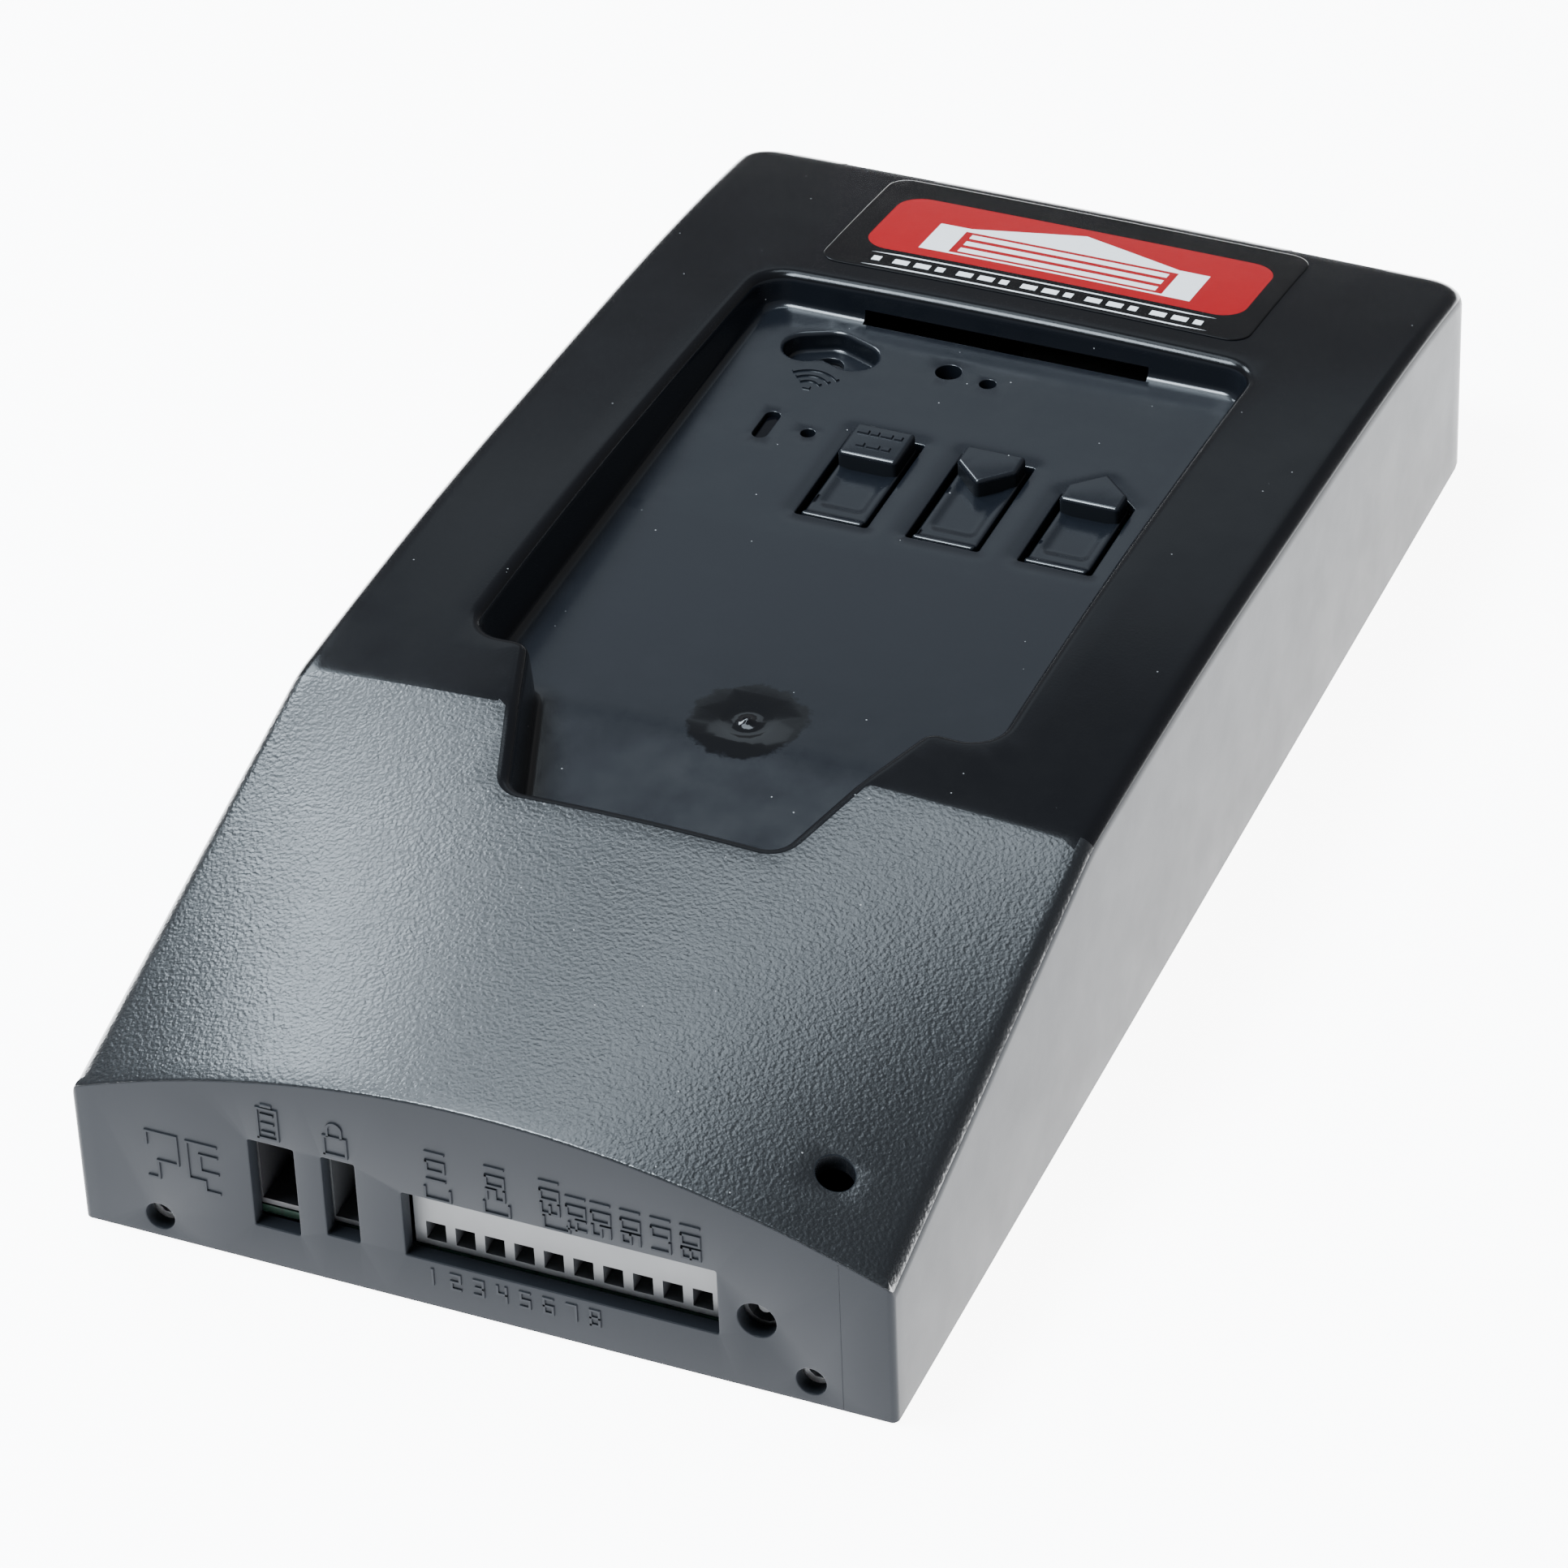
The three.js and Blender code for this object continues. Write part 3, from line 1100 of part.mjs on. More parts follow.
place('motor_can', motorCan(), STEEL);
place('motor_end_cap', motorEndCap(), DARK_PLASTIC);
place('motor_shaft', onAxle(SHAFT_R, SHAFT_START, WORM_BOX.x1 - 0.5, SMALL_ROUND), STEEL);
place('armature', armature(), COPPER);
place('commutator', sleeve(COMMUTATOR_R, SHAFT_R + GAP, MOTOR_REAR + 7, MOTOR_REAR + 13), COPPER);
place('worm', worm(), STEEL);
place('upper_magnet', magnet(1), FERRITE);
place('lower_magnet', magnet(-1), FERRITE);
['rear_brush', 'front_brush'].forEach((name, i) => {
  const side = i === 0 ? -1 : 1;
  const edges = [COMMUTATOR_R + GAP, MOTOR_R - BRUSH_INSET].map((r) => WORM_Y + side * r);
  const x = MOTOR_REAR + 10;
  const sides = [Math.min(...edges), Math.max(...edges)];
  place(name, box(x - 2, x + 2, ...sides, AXLE_Z - 2, AXLE_Z + 2), FERRITE);
});
const bushInner = SHAFT_R + RUNNING;
const bushOuter = SHAFT_R + BUSH_WALL;
place('front_motor_bush', sleeve(bushOuter, bushInner, MOTOR_FRONT - 3, MOTOR_FRONT + 3), BRASS);
place('rear_motor_bush', sleeve(bushOuter, bushInner, MOTOR_REAR - 0.5, MOTOR_REAR + 3), BRASS);
place('worm_end_bush', sleeve(bushOuter, bushInner, WORM_BOX.x1 - 4, WORM_BOX.x1), BRASS);
place('encoder_wheel', encoderWheel(), DARK_PLASTIC);
place('encoder_sensor', encoderSensor(), DARK_PLASTIC);

place('gearbox_housing', gearboxHousing(), finish(0x3c3f44, 0.6));
place('gearbox_cover', gearboxCover(), finish(0x3c3f44, 0.6));
EARS.forEach(([x, y], i) => {
  place(`gearbox_screw_${i + 1}`, screw(x, y, GEAR_PARTING + GAP + 1.2 + GAP, 12), STEEL);
});
place('worm_wheel', wormWheel(), PALE_NYLON);
place('output_hub', outputHub(), STEEL);
// A bore whose flats, not only its corners, clear a journal of this radius.
const boreR = (radius) => (radius + RUNNING) / Math.cos(Math.PI / ROUND);
const lowerBush = [HUB_R + BUSH_WALL, boreR(HUB_R)];
const upperBush = [HUB_TOP_R + BUSH_WALL, boreR(HUB_TOP_R)];
const lidZ = GEAR_PARTING + GAP;
place('lower_hub_bush', ring('z', WHEEL_X, WHEEL_Y, ...lowerBush, PLATE + GAP, WHEEL_Z - 4), BRASS);
place('upper_hub_bush', ring('z', WHEEL_X, WHEEL_Y, ...upperBush, lidZ, lidZ + GEAR_LID), BRASS);
place('hub_circlip', hubCirclip(), STEEL);

place('transformer_core', transformerCore(), FERRITE);
place('transformer_coil', transformerCoil(), finish(0xb59a3c, 0.6));
place('power_board', powerBoard(), BOARD_GREEN);
place('smoothing_capacitor', smoothingCapacitor(), finish(0x1f2a3a, 0.4));
place('ribbon_cable', ribbonCable(), finish(0x9a9ca0, 0.6));

export default opener;
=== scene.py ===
"""Looks of the garage door opener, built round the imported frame. Metres, +Z up, terminal end at -Y."""
import json
import math

import bmesh
import bpy
import numpy as np
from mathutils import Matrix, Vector
from mathutils.geometry import delaunay_2d_cdt


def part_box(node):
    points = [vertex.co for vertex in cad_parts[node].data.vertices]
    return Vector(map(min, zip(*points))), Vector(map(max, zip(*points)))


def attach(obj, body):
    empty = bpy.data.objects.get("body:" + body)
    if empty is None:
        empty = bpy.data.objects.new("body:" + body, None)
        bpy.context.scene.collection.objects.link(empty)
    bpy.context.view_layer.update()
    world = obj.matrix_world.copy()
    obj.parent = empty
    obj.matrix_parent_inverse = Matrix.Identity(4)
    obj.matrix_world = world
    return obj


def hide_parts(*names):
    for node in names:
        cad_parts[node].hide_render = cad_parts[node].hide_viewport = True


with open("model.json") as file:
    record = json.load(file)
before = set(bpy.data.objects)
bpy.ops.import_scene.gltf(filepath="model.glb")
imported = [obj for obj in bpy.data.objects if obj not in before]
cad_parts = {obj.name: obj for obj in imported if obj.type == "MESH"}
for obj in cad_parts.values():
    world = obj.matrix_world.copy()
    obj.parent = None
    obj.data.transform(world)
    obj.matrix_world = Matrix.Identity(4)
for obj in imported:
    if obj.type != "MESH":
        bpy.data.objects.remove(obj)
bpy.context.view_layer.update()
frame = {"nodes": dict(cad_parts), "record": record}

# ---- Sizes, in millimetres -----------------------------------------------------------
MM = 0.001
cover_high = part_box("cover")[1]
HALF = cover_high[0] / MM
END = cover_high[1] / MM
RELIEF = 0.3
NEAR = -END + RELIEF
WALL = 2.8

NEAR_HEIGHT = 27.5
CREASE_HEIGHT = 50
CREASE_Y = -END + 87
CREASE_BLEND = 0.7
PEAK_Y = CREASE_Y + 18
BACK_RADIUS = 930
NEAR_CROWN = 14.6
CREASE_CROWN = 3.2
FAR_CROWN = 3.8
FLATTEN_START = 30
FAR_FLATTEN = 3.3
SIDE_ROLL = 2.6
NEAR_ROLL = 0.45
FAR_ROLL = 4.4
CORNER_R = 1.2
FAR_CORNER_R = 8.0

RECESS_HALF = 46.5
RECESS_FAR = 90
SHOULDER = -36.5
TAB_HALF = 35.5
TAB_NEAR_HALF = 23.5
TAB_NEAR = -71.5
TAB_LEAN = (TAB_HALF - TAB_NEAR_HALF) / (SHOULDER - TAB_NEAR)
RIM_ROLL = 2.4
WALL_DRAFT = 0.55
FLOOR_FILLET = 1.6
PANEL_START = 21.5
PANEL_HEIGHT = 39.6
PANEL_FALL = 0.0197
FLOOR_HEIGHT = 40.4
TAB_FLOOR_HEIGHT = 37

KINDS = ["program", "down", "up"]
BUTTON_X = [sum(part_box(f"{kind}_button")[end][0] for end in (0, 1)) / 2 / MM for kind in KINDS]
BUTTON_ROOT = 29.2
BUTTON_END = 55.3
TONGUE_HALF = 5.65
TONGUE_DROP = 0.8
TONGUE_THICK = 1.6
TONGUE_EDGE = 0.42
TONGUE_DISH = 0.32
ROOT_DROP = 0.12
CAP_HALF = 5.5
CAP_START = 45.6
CAP_RISE = 2.4
CAP_ROLL = 0.75
CAP_MIDDLE = 50.5
SLIT = 1.1
FAR_SLIT = 0.8
GAP = 0.3
DISH = 0.28
GATE = (0.5, -30.3)
STAIN_R = 12.5
STAIN_POLISH = 0.4
STAIN_SHADE = 0.4

POCKET_PATH = [(-33.6, 77.9), (-29.5, 79.8), (-24.4, 77.8)]
POCKET_R = 4.2
POCKET_DEPTH = 3.9
POCKET_FLOOR = 1.2
POCKET_WALL = 1.7
NETWORK_HOLE = (-29.8, 78.6, 2.7)
LENS = (-30.7, 52.2, 1.4, 4.25)
PANEL_HOLES = [(-22.8, 52.2, 1.3), (-6.8, 78.9, 2.35), (1.1, 77.7, 1.5)]

TERMINAL_SLOT = (-12.8, 40.9, 9.7, 22.6)
TERMINAL_PITCH = 5.08
LOCK_SLOT = (-26.5, -20.7, 9.7, 25.8)
BATTERY_SLOT = (-39.3, -31.3, 8, 25.7)
END_HOLES = [(47.4, 14.6, 3.3), (-56.6, 4.45, 2.55), (56.2, 4.67, 2.55)]
AERIAL = (55.6, -126.9, 3.1)
NOTCHES = [(-50.7, -31.8), (36.5, 54.8)]
NOTCH_DEPTH = 3.4
HINGE_HALF = 27
HINGE_NEAR = 88

LABEL = (-39.5, 42, 97.5, 135.5)
LABEL_CORNER = 4
LABEL_RISE = 0.22
LABEL_PLATE = (-34.5, 38, 105.6, 128.6)
LABEL_RULES = [(103.75, 104.2), (98.55, 99.0)]
LABEL_DOOR = (1.75, 117.1)

MARK_RISE = 0.27
MARK_LINE = 0.55
NUMBER_COLUMNS = [-6.3, 3.9, 13.2, 17.6, 21.8, 26.8, 31.9, 36.9]
BATTERY_MARK = (-35.3, 30.5)
LOCK_MARK = (-23.6, 30.3)
CORNER_MARK = (-51.5, 17.6)
RADIO_MARK = (-28.5, 65.4)


# ---- Surfaces of the cover -----------------------------------------------------------
def soft_step(y):
    """0 before the crease, y past it, with a soft bend."""
    s = (y - CREASE_Y) / CREASE_BLEND
    return CREASE_BLEND * (s if s > 30 else math.log1p(math.exp(s)))


def top_height(x, y):
    rise = (CREASE_HEIGHT - NEAR_HEIGHT) / (CREASE_Y + END)
    past = soft_step(y)
    lead = (PEAK_Y - CREASE_Y) / BACK_RADIUS
    side = NEAR_HEIGHT + rise * (y + END) + (lead - rise) * past - past * past / (2 * BACK_RADIUS)
    near_fall = (CREASE_CROWN - NEAR_CROWN) / (CREASE_Y + END)
    far_rise = (FAR_CROWN - CREASE_CROWN) / (END - CREASE_Y)
    crown = NEAR_CROWN + near_fall * (y + END) + (far_rise - near_fall) * past
    share = min(1, max(0, (y - FLATTEN_START) / (END - FLATTEN_START)))
    flatten = FAR_FLATTEN * share * share * (3 - 2 * share)
    return side + crown - (crown - flatten) * (x / HALF) ** 2


def floor_height(y):
    if y > PANEL_START:
        return PANEL_HEIGHT - PANEL_FALL * (y - PANEL_START)
    if y > SHOULDER:
        share = (y - SHOULDER) / (PANEL_START - SHOULDER)
        return FLOOR_HEIGHT + (PANEL_HEIGHT - FLOOR_HEIGHT) * share
    return FLOOR_HEIGHT + (TAB_FLOOR_HEIGHT - FLOOR_HEIGHT) * (SHOULDER - y) / (SHOULDER - TAB_NEAR)


# ---- Outlines ------------------------------------------------------------------------
def rounded(corners, radii, steps=6, counts=None):
    """A polygon with arcs at its corners and counts[i] equal pieces on the side after corner i."""
    arcs = []
    total = len(corners)
    for i, corner in enumerate(corners):
        radius = radii[i] if isinstance(radii, (list, tuple)) else radii
        here = Vector(corner)
        before = (Vector(corners[i - 1]) - here).normalized()
        after = (Vector(corners[(i + 1) % total]) - here).normalized()
        half = math.acos(max(-1, min(1, before.dot(after)))) / 2
        centre = here + (before + after).normalized() * (radius / math.sin(half))
        spoke = here + before * (radius / math.tan(half)) - centre
        turn = math.copysign(math.pi - 2 * half, before.x * after.y - before.y * after.x)
        arc = []
        for k in range(steps + 1):
            c, s = math.cos(-turn * k / steps), math.sin(-turn * k / steps)
            arc.append((centre.x + spoke.x * c - spoke.y * s, centre.y + spoke.x * s + spoke.y * c))
        arcs.append(arc)
    points = []
    for i, arc in enumerate(arcs):
        points += arc
        following = arcs[(i + 1) % total][0]
        pieces = counts[i] if counts else 1
        for k in range(1, pieces):
            share = k / pieces
            points.append(tuple(a + (b - a) * share for a, b in zip(arc[-1], following)))
    return points


def rectangle(x0, x1, y0, y1):
    return [(x0, y0), (x1, y0), (x1, y1), (x0, y1)]


def circle(x, y, radius, sides=32):
    turns = [2 * math.pi * (k + 0.5) / sides for k in range(sides)]
    return [(x + radius * math.cos(t), y + radius * math.sin(t)) for t in turns]


def recess_outline(grow):
    shift = grow * math.hypot(1, TAB_LEAN)
    shoulder, near, half = SHOULDER - grow, TAB_NEAR - grow, RECESS_HALF + grow
    tab = [TAB_HALF + (y - SHOULDER) * TAB_LEAN + shift for y in (near, shoulder)]
    right = [(tab[0], near), (tab[1], shoulder), (half, shoulder), (half, RECESS_FAR + grow)]
    left = [(-x, y) for x, y in reversed(right)]
    radii = [max(0.4, r) for r in (4 + grow, 3.6 - grow, 6 + grow, 5.5 + grow)]
    counts = [10, 3, 34, 30, 34, 3, 10, 16]
    return rounded(right + left, radii + radii[::-1], 8, counts)


def aperture_outline(kind, x, grow):
    half = TONGUE_HALF + SLIT + grow
    near, far = BUTTON_ROOT - GAP - grow, BUTTON_END + FAR_SLIT + grow
    if kind != "up":
        return rounded(rectangle(x - half, x + half, near, far), 0.5 + grow, 4, [6, 12, 6, 12])
    shoulder = far - half + 1
    corners = [
        (x - half, near), (x + half, near), (x + half, shoulder), (x, far + 0.4), (x - half, shoulder)]
    return rounded(corners, 0.5 + grow, 4, [6, 10, 4, 4, 10])


def pocket_outline(grow):
    """A capsule that follows the bent path: end arcs, an arc outside the bend, a mitre inside it."""
    radius = POCKET_R + grow
    first, bend, last = [Vector(p) for p in POCKET_PATH]
    up = [Vector((-d.y, d.x)) for d in ((bend - first).normalized(), (last - bend).normalized())]
    angle = [math.atan2(n.y, n.x) for n in up]

    def arc(centre, start, end, steps):
        turns = [start + (end - start) * k / steps for k in range(steps + 1)]
        return [(centre.x + radius * math.cos(t), centre.y + radius * math.sin(t)) for t in turns]

    mitre = (up[0] + up[1]).normalized()
    reach = radius / mitre.dot(up[0])
    inside = bend - mitre * reach
    points = arc(last, angle[1], angle[1] - math.pi, 14)
    points += [(inside.x, inside.y)]
    points += arc(first, angle[0] + math.pi, angle[0], 14)
    return points + arc(bend, angle[0], angle[1], 4)


def inside(points, ring):
    """Even-odd test of many points against one closed ring."""
    points, ring = np.asarray(points, float), np.asarray(ring, float)
    ahead = np.roll(ring, -1, axis=0)
    x, y = points[:, 0:1], points[:, 1:2]
    crosses = (ring[None, :, 1] > y) != (ahead[None, :, 1] > y)
    rise = np.where(np.abs(ahead[:, 1] - ring[:, 1]) < 1e-12, 1e-12, ahead[:, 1] - ring[:, 1])
    at = ring[None, :, 0] + (y - ring[None, :, 1]) * (ahead[:, 0] - ring[:, 0])[None] / rise[None]
    return (crosses & (x < at)).sum(axis=1) % 2 == 1


def distance(points, ring):
    """Distance of each point from the sides of a closed ring."""
    points, ring = np.asarray(points, float), np.asarray(ring, float)
    side = np.roll(ring, -1, axis=0) - ring
    long = np.maximum((side ** 2).sum(axis=1), 1e-12)
    away = points[:, None, :] - ring[None]
    share = np.clip((away * side[None]).sum(axis=2) / long[None], 0, 1)
    return np.sqrt(((away - share[..., None] * side[None]) ** 2).sum(axis=2)).min(axis=1)


# ---- Mesh building -------------------------------------------------------------------
class Skin:
    """Points in millimetres and faces with a zone name, which becomes the material."""

    def __init__(self):
        self.points, self.faces, self.zones = [], [], []

    def loop(self, points):
        start = len(self.points)
        self.points += [tuple(p) for p in points]
        return list(range(start, len(self.points)))

    def band(self, a, b, zone, skip=()):
        count = len(a)
        for i in range(count):
            if i not in skip:
                j = (i + 1) % count
                self.face((a[i], a[j], b[j], b[i]), zone(i) if callable(zone) else zone)

    def face(self, corners, zone):
        self.faces.append(corners)
        self.zones.append(zone)

    def patch(self, loops, flat, place, zone, spots=(), marks=()):
        """Fills the first loop, less the others, with triangles through the spots."""
        ids = [i for loop in loops for i in loop]
        rings = [np.array([flat(self.points[i]) for i in loop]) for loop in loops]
        sides, at = [], 0
        mark_rings = [np.array(ring) for ring, _ in marks]
        for ring in rings + mark_rings:
            sides += [(at + k, at + (k + 1) % len(ring)) for k in range(len(ring))]
            at += len(ring)
        flat_points = [tuple(p) for ring in rings + mark_rings for p in ring]
        kept = self.clear_spots(spots, rings, mark_rings)
        made = delaunay_2d_cdt([Vector(p) for p in flat_points + kept], sides, [], 0, 1e-6)
        points, triangles, origin = made[0], made[2], made[3]
        index = {}
        for k, point in enumerate(points):
            known = [i for i in origin[k] if i < len(ids)]
            index[k] = ids[known[0]] if known else self.loop([place(point[0], point[1])])[0]
        middles = np.array([np.mean([points[k][:] for k in t], axis=0) for t in triangles])
        keep = inside(middles, rings[0])
        for ring in rings[1:]:
            keep &= ~inside(middles, ring)
        names = [zone(*m) if callable(zone) else zone for m in middles]
        for (_, mark), ring in zip(marks, mark_rings):
            for k in np.nonzero(inside(middles, ring))[0]:
                names[k] = mark
        for t, good, name in zip(triangles, keep, names):
            if good:
                self.face(tuple(index[k] for k in t), name)

    @staticmethod
    def clear_spots(spots, rings, mark_rings):
        spots = [tuple(s) for s in spots]
        if not spots:
            return []
        away = np.min([distance(spots, ring) for ring in rings + mark_rings], axis=0)
        good = inside(spots, rings[0]) & (away > 0.35)
        for ring in rings[1:]:
            good &= ~inside(spots, ring)
        return [s for s, g in zip(spots, good) if g]

    def build(self, name, materials, body, stands_for=(), sharp=34):
        mesh = bpy.data.meshes.new(name)
        mesh.from_pydata([[c * MM for c in p] for p in self.points], [], self.faces)
        order = list(dict.fromkeys(self.zones))
        for zone in order:
            mesh.materials.append(materials[zone])
        mesh.polygons.foreach_set("material_index", [order.index(z) for z in self.zones])
        tidy_mesh(mesh, sharp)
        return add_piece(name, mesh, body, stands_for)


def tidy_mesh(mesh, sharp):
    work = bmesh.new()
    work.from_mesh(mesh)
    bmesh.ops.remove_doubles(work, verts=work.verts, dist=2e-6)
    bmesh.ops.dissolve_degenerate(work, dist=1e-6, edges=work.edges)
    bmesh.ops.recalc_face_normals(work, faces=work.faces)
    work.to_mesh(mesh)
    work.free()
    mesh.shade_smooth()
    mesh.set_sharp_from_angle(angle=math.radians(sharp))


def add_piece(name, mesh, body, stands_for=()):
    piece = bpy.data.objects.new(name, mesh)
    bpy.context.scene.collection.objects.link(piece)
    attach(piece, body)
    if stands_for:
        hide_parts(*stands_for)
    return piece


def flat(point):
    return point[0], point[1]


def grid(x0, x1, y0, y1, step):
    xs = np.linspace(x0, x1, max(2, round((x1 - x0) / step) + 1))
    ys = np.linspace(y0, y1, max(2, round((y1 - y0) / step) + 1))
    return [(x, y) for y in ys for x in xs]


QUARTER = [k / 6 * math.pi / 2 for k in range(7)]


def tunnel(skin, outline, place, depth, zone, roll=0.25):
    """The wall of an opening: a rolled mouth, then straight to depth. Gives both end loops."""
    loops = [skin.loop([place(u, v, roll * (1 - math.cos(t))) for u, v in outline(roll * (1 - math.sin(t)))])
             for t in QUARTER[::2]]
    loops.append(skin.loop([place(u, v, depth) for u, v in outline(0)]))
    for a, b in zip(loops, loops[1:]):
        skin.band(a, b, zone)
    return loops[0], loops[-1]


# ---- Materials -----------------------------------------------------------------------
def new_material(name):
    material = bpy.data.materials.new(name)
    material.use_nodes = True
    return material, material.node_tree.nodes, material.node_tree.links


def shader_of(nodes):
    return next(n for n in nodes if n.type == "BSDF_PRINCIPLED")


def noise(nodes, links, coords, scale, detail=3.0, roughness=0.55):
    node = nodes.new("ShaderNodeTexNoise")
    node.inputs["Scale"].default_value = scale
    node.inputs["Detail"].default_value = detail
    node.inputs["Roughness"].default_value = roughness
    links.new(coords, node.inputs["Vector"])
    return node.outputs["Fac"]


def ramp(nodes, links, value, low, high, start=0.0, end=1.0):
    node = nodes.new("ShaderNodeMapRange")
    node.inputs["From Min"].default_value = start
    node.inputs["From Max"].default_value = end
    node.inputs["To Min"].default_value = low
    node.inputs["To Max"].default_value = high
    links.new(value, node.inputs["Value"])
    return node.outputs["Result"]


def mix_colours(nodes, links, share, first, second):
    node = nodes.new("ShaderNodeMix")
    node.data_type = "RGBA"
    node.inputs[6].default_value = (*first, 1)
    node.inputs[7].default_value = (*second, 1)
    links.new(share, node.inputs["Factor"])
    return node.outputs[2]


def paint_over(nodes, links, share, paint, colour):
    """The paint so far, with a flat colour over it where share is 1."""
    node = nodes.new("ShaderNodeMix")
    node.data_type = "RGBA"
    node.inputs[7].default_value = (*colour, 1)
    links.new(share, node.inputs["Factor"])
    links.new(paint, node.inputs[6])
    return node.outputs[2]


def bump(nodes, links, height, strength, depth, before=None):
    node = nodes.new("ShaderNodeBump")
    node.inputs["Strength"].default_value = strength
    node.inputs["Distance"].default_value = depth
    links.new(height, node.inputs["Height"])
    if before:
        links.new(before, node.inputs["Normal"])
    return node.outputs["Normal"]


def specks(nodes, links, coords, scale, size):
    """Sparse round dust specks: 1 inside a speck, 0 elsewhere."""
    cells = nodes.new("ShaderNodeTexVoronoi")
    cells.inputs["Scale"].default_value = scale
    cells.inputs["Randomness"].default_value = 1.0
    links.new(coords, cells.inputs["Vector"])
    near = nodes.new("ShaderNodeMath")
    near.operation = "LESS_THAN"
    near.inputs[1].default_value = size
    links.new(cells.outputs["Distance"], near.inputs[0])
    chosen = nodes.new("ShaderNodeSeparateColor")
    links.new(cells.outputs["Color"], chosen.inputs["Color"])
    rare = nodes.new("ShaderNodeMath")
    rare.operation = "GREATER_THAN"
    rare.inputs[1].default_value = 0.9
    links.new(chosen.outputs["Red"], rare.inputs[0])
    both = nodes.new("ShaderNodeMath")
    both.operation = "MULTIPLY"
    links.new(near.outputs["Value"], both.inputs[0])
    links.new(rare.outputs["Value"], both.inputs[1])
    return both.outputs["Value"]


def gate_stain(nodes, links, coords):
    """Share of the blotchy ring round the moulding gate: 1 inside its ragged edge, 0 outside."""
    ragged = nodes.new("ShaderNodeVectorMath")
    ragged.operation = "SUBTRACT"
    ragged.inputs[1].default_value = (GATE[0] * MM, GATE[1] * MM, floor_height(GATE[1]) * MM)
    links.new(coords, ragged.inputs[0])
    away = nodes.new("ShaderNodeVectorMath")
    away.operation = "LENGTH"
    links.new(ragged.outputs["Vector"], away.inputs[0])
    wobble = nodes.new("ShaderNodeMath")
    wobble.operation = "MULTIPLY_ADD"
    wobble.inputs[1].default_value = 0.006
    links.new(noise(nodes, links, coords, 260, 4, 0.65), wobble.inputs[0])
    links.new(away.outputs["Value"], wobble.inputs[2])
    return ramp(nodes, links, wobble.outputs["Value"], 1, 0, STAIN_R * MM, (STAIN_R + 0.8) * MM)


def moulded(name, colour, rough, grain=(), spread=0.06, dust=0.0, specular=0.5, tint=1.35, stained=False):
    """Moulded plastic: faint flow clouds, roughness that varies, grain layers and dust."""
    material, nodes, links = new_material(name)
    shader = shader_of(nodes)
    coords = nodes.new("ShaderNodeTexCoord").outputs["Object"]
    clouds = noise(nodes, links, coords, 28, 4)
    paint = mix_colours(nodes, links, clouds, colour, [min(1, c * tint) for c in colour])
    if dust:
        paint = paint_over(nodes, links, specks(nodes, links, coords, 420, 0.06), paint, [dust] * 3)
    scuffs = noise(nodes, links, coords, 90, 5, 0.65)
    polish = ramp(nodes, links, scuffs, rough - spread, rough + spread, 0.3, 0.7)
    if stained:
        stain = gate_stain(nodes, links, coords)
        scaled = nodes.new("ShaderNodeMath")
        scaled.operation = "MULTIPLY"
        links.new(polish, scaled.inputs[0])
        links.new(ramp(nodes, links, stain, 1, STAIN_POLISH), scaled.inputs[1])
        polish = scaled.outputs["Value"]
        paint = paint_over(nodes, links, stain, paint, [c * STAIN_SHADE for c in colour])
    links.new(paint, shader.inputs["Base Color"])
    links.new(polish, shader.inputs["Roughness"])
    shader.inputs["Specular IOR Level"].default_value = specular
    normal = None
    for scale, strength, depth in grain:
        normal = bump(nodes, links, noise(nodes, links, coords, scale, 0), strength, depth, normal)
    if normal:
        links.new(normal, shader.inputs["Normal"])
    return material


def metal(name, colour, rough, brush=(1, 1, 1), wear=0.08):
    """Metal with brushed or cloudy roughness and a fine bump along the same direction."""
    material, nodes, links = new_material(name)
    shader = shader_of(nodes)
    shader.inputs["Metallic"].default_value = 1.0
    coords = nodes.new("ShaderNodeTexCoord").outputs["Object"]
    stretch = nodes.new("ShaderNodeMapping")
    stretch.inputs["Scale"].default_value = brush
    links.new(coords, stretch.inputs["Vector"])
    streaks = noise(nodes, links, stretch.outputs["Vector"], 500, 4)
    clouds = noise(nodes, links, coords, 45, 4)
    paint = mix_colours(nodes, links, clouds, [c * 0.86 for c in colour], colour)
    links.new(paint, shader.inputs["Base Color"])
    links.new(ramp(nodes, links, streaks, rough - wear, rough + wear, 0.3, 0.7), shader.inputs["Roughness"])
    links.new(bump(nodes, links, streaks, 0.25, 0.00004), shader.inputs["Normal"])
    return material


def board_look(name, colour):
    """Solder mask with darker copper tracks under it."""
    material, nodes, links = new_material(name)
    shader = shader_of(nodes)
    coords = nodes.new("ShaderNodeTexCoord").outputs["Object"]
    tracks = nodes.new("ShaderNodeTexBrick")
    tracks.inputs["Scale"].default_value = 90
    tracks.inputs["Color1"].default_value = (*colour, 1)
    tracks.inputs["Color2"].default_value = (*[c * 1.5 for c in colour], 1)
    tracks.inputs["Mortar"].default_value = (*[c * 0.6 for c in colour], 1)
    links.new(coords, tracks.inputs["Vector"])
    links.new(tracks.outputs["Color"], shader.inputs["Base Color"])
    links.new(ramp(nodes, links, noise(nodes, links, coords, 120), 0.3, 0.5), shader.inputs["Roughness"])
    links.new(bump(nodes, links, tracks.outputs["Fac"], 0.3, 0.00003), shader.inputs["Normal"])
    return material


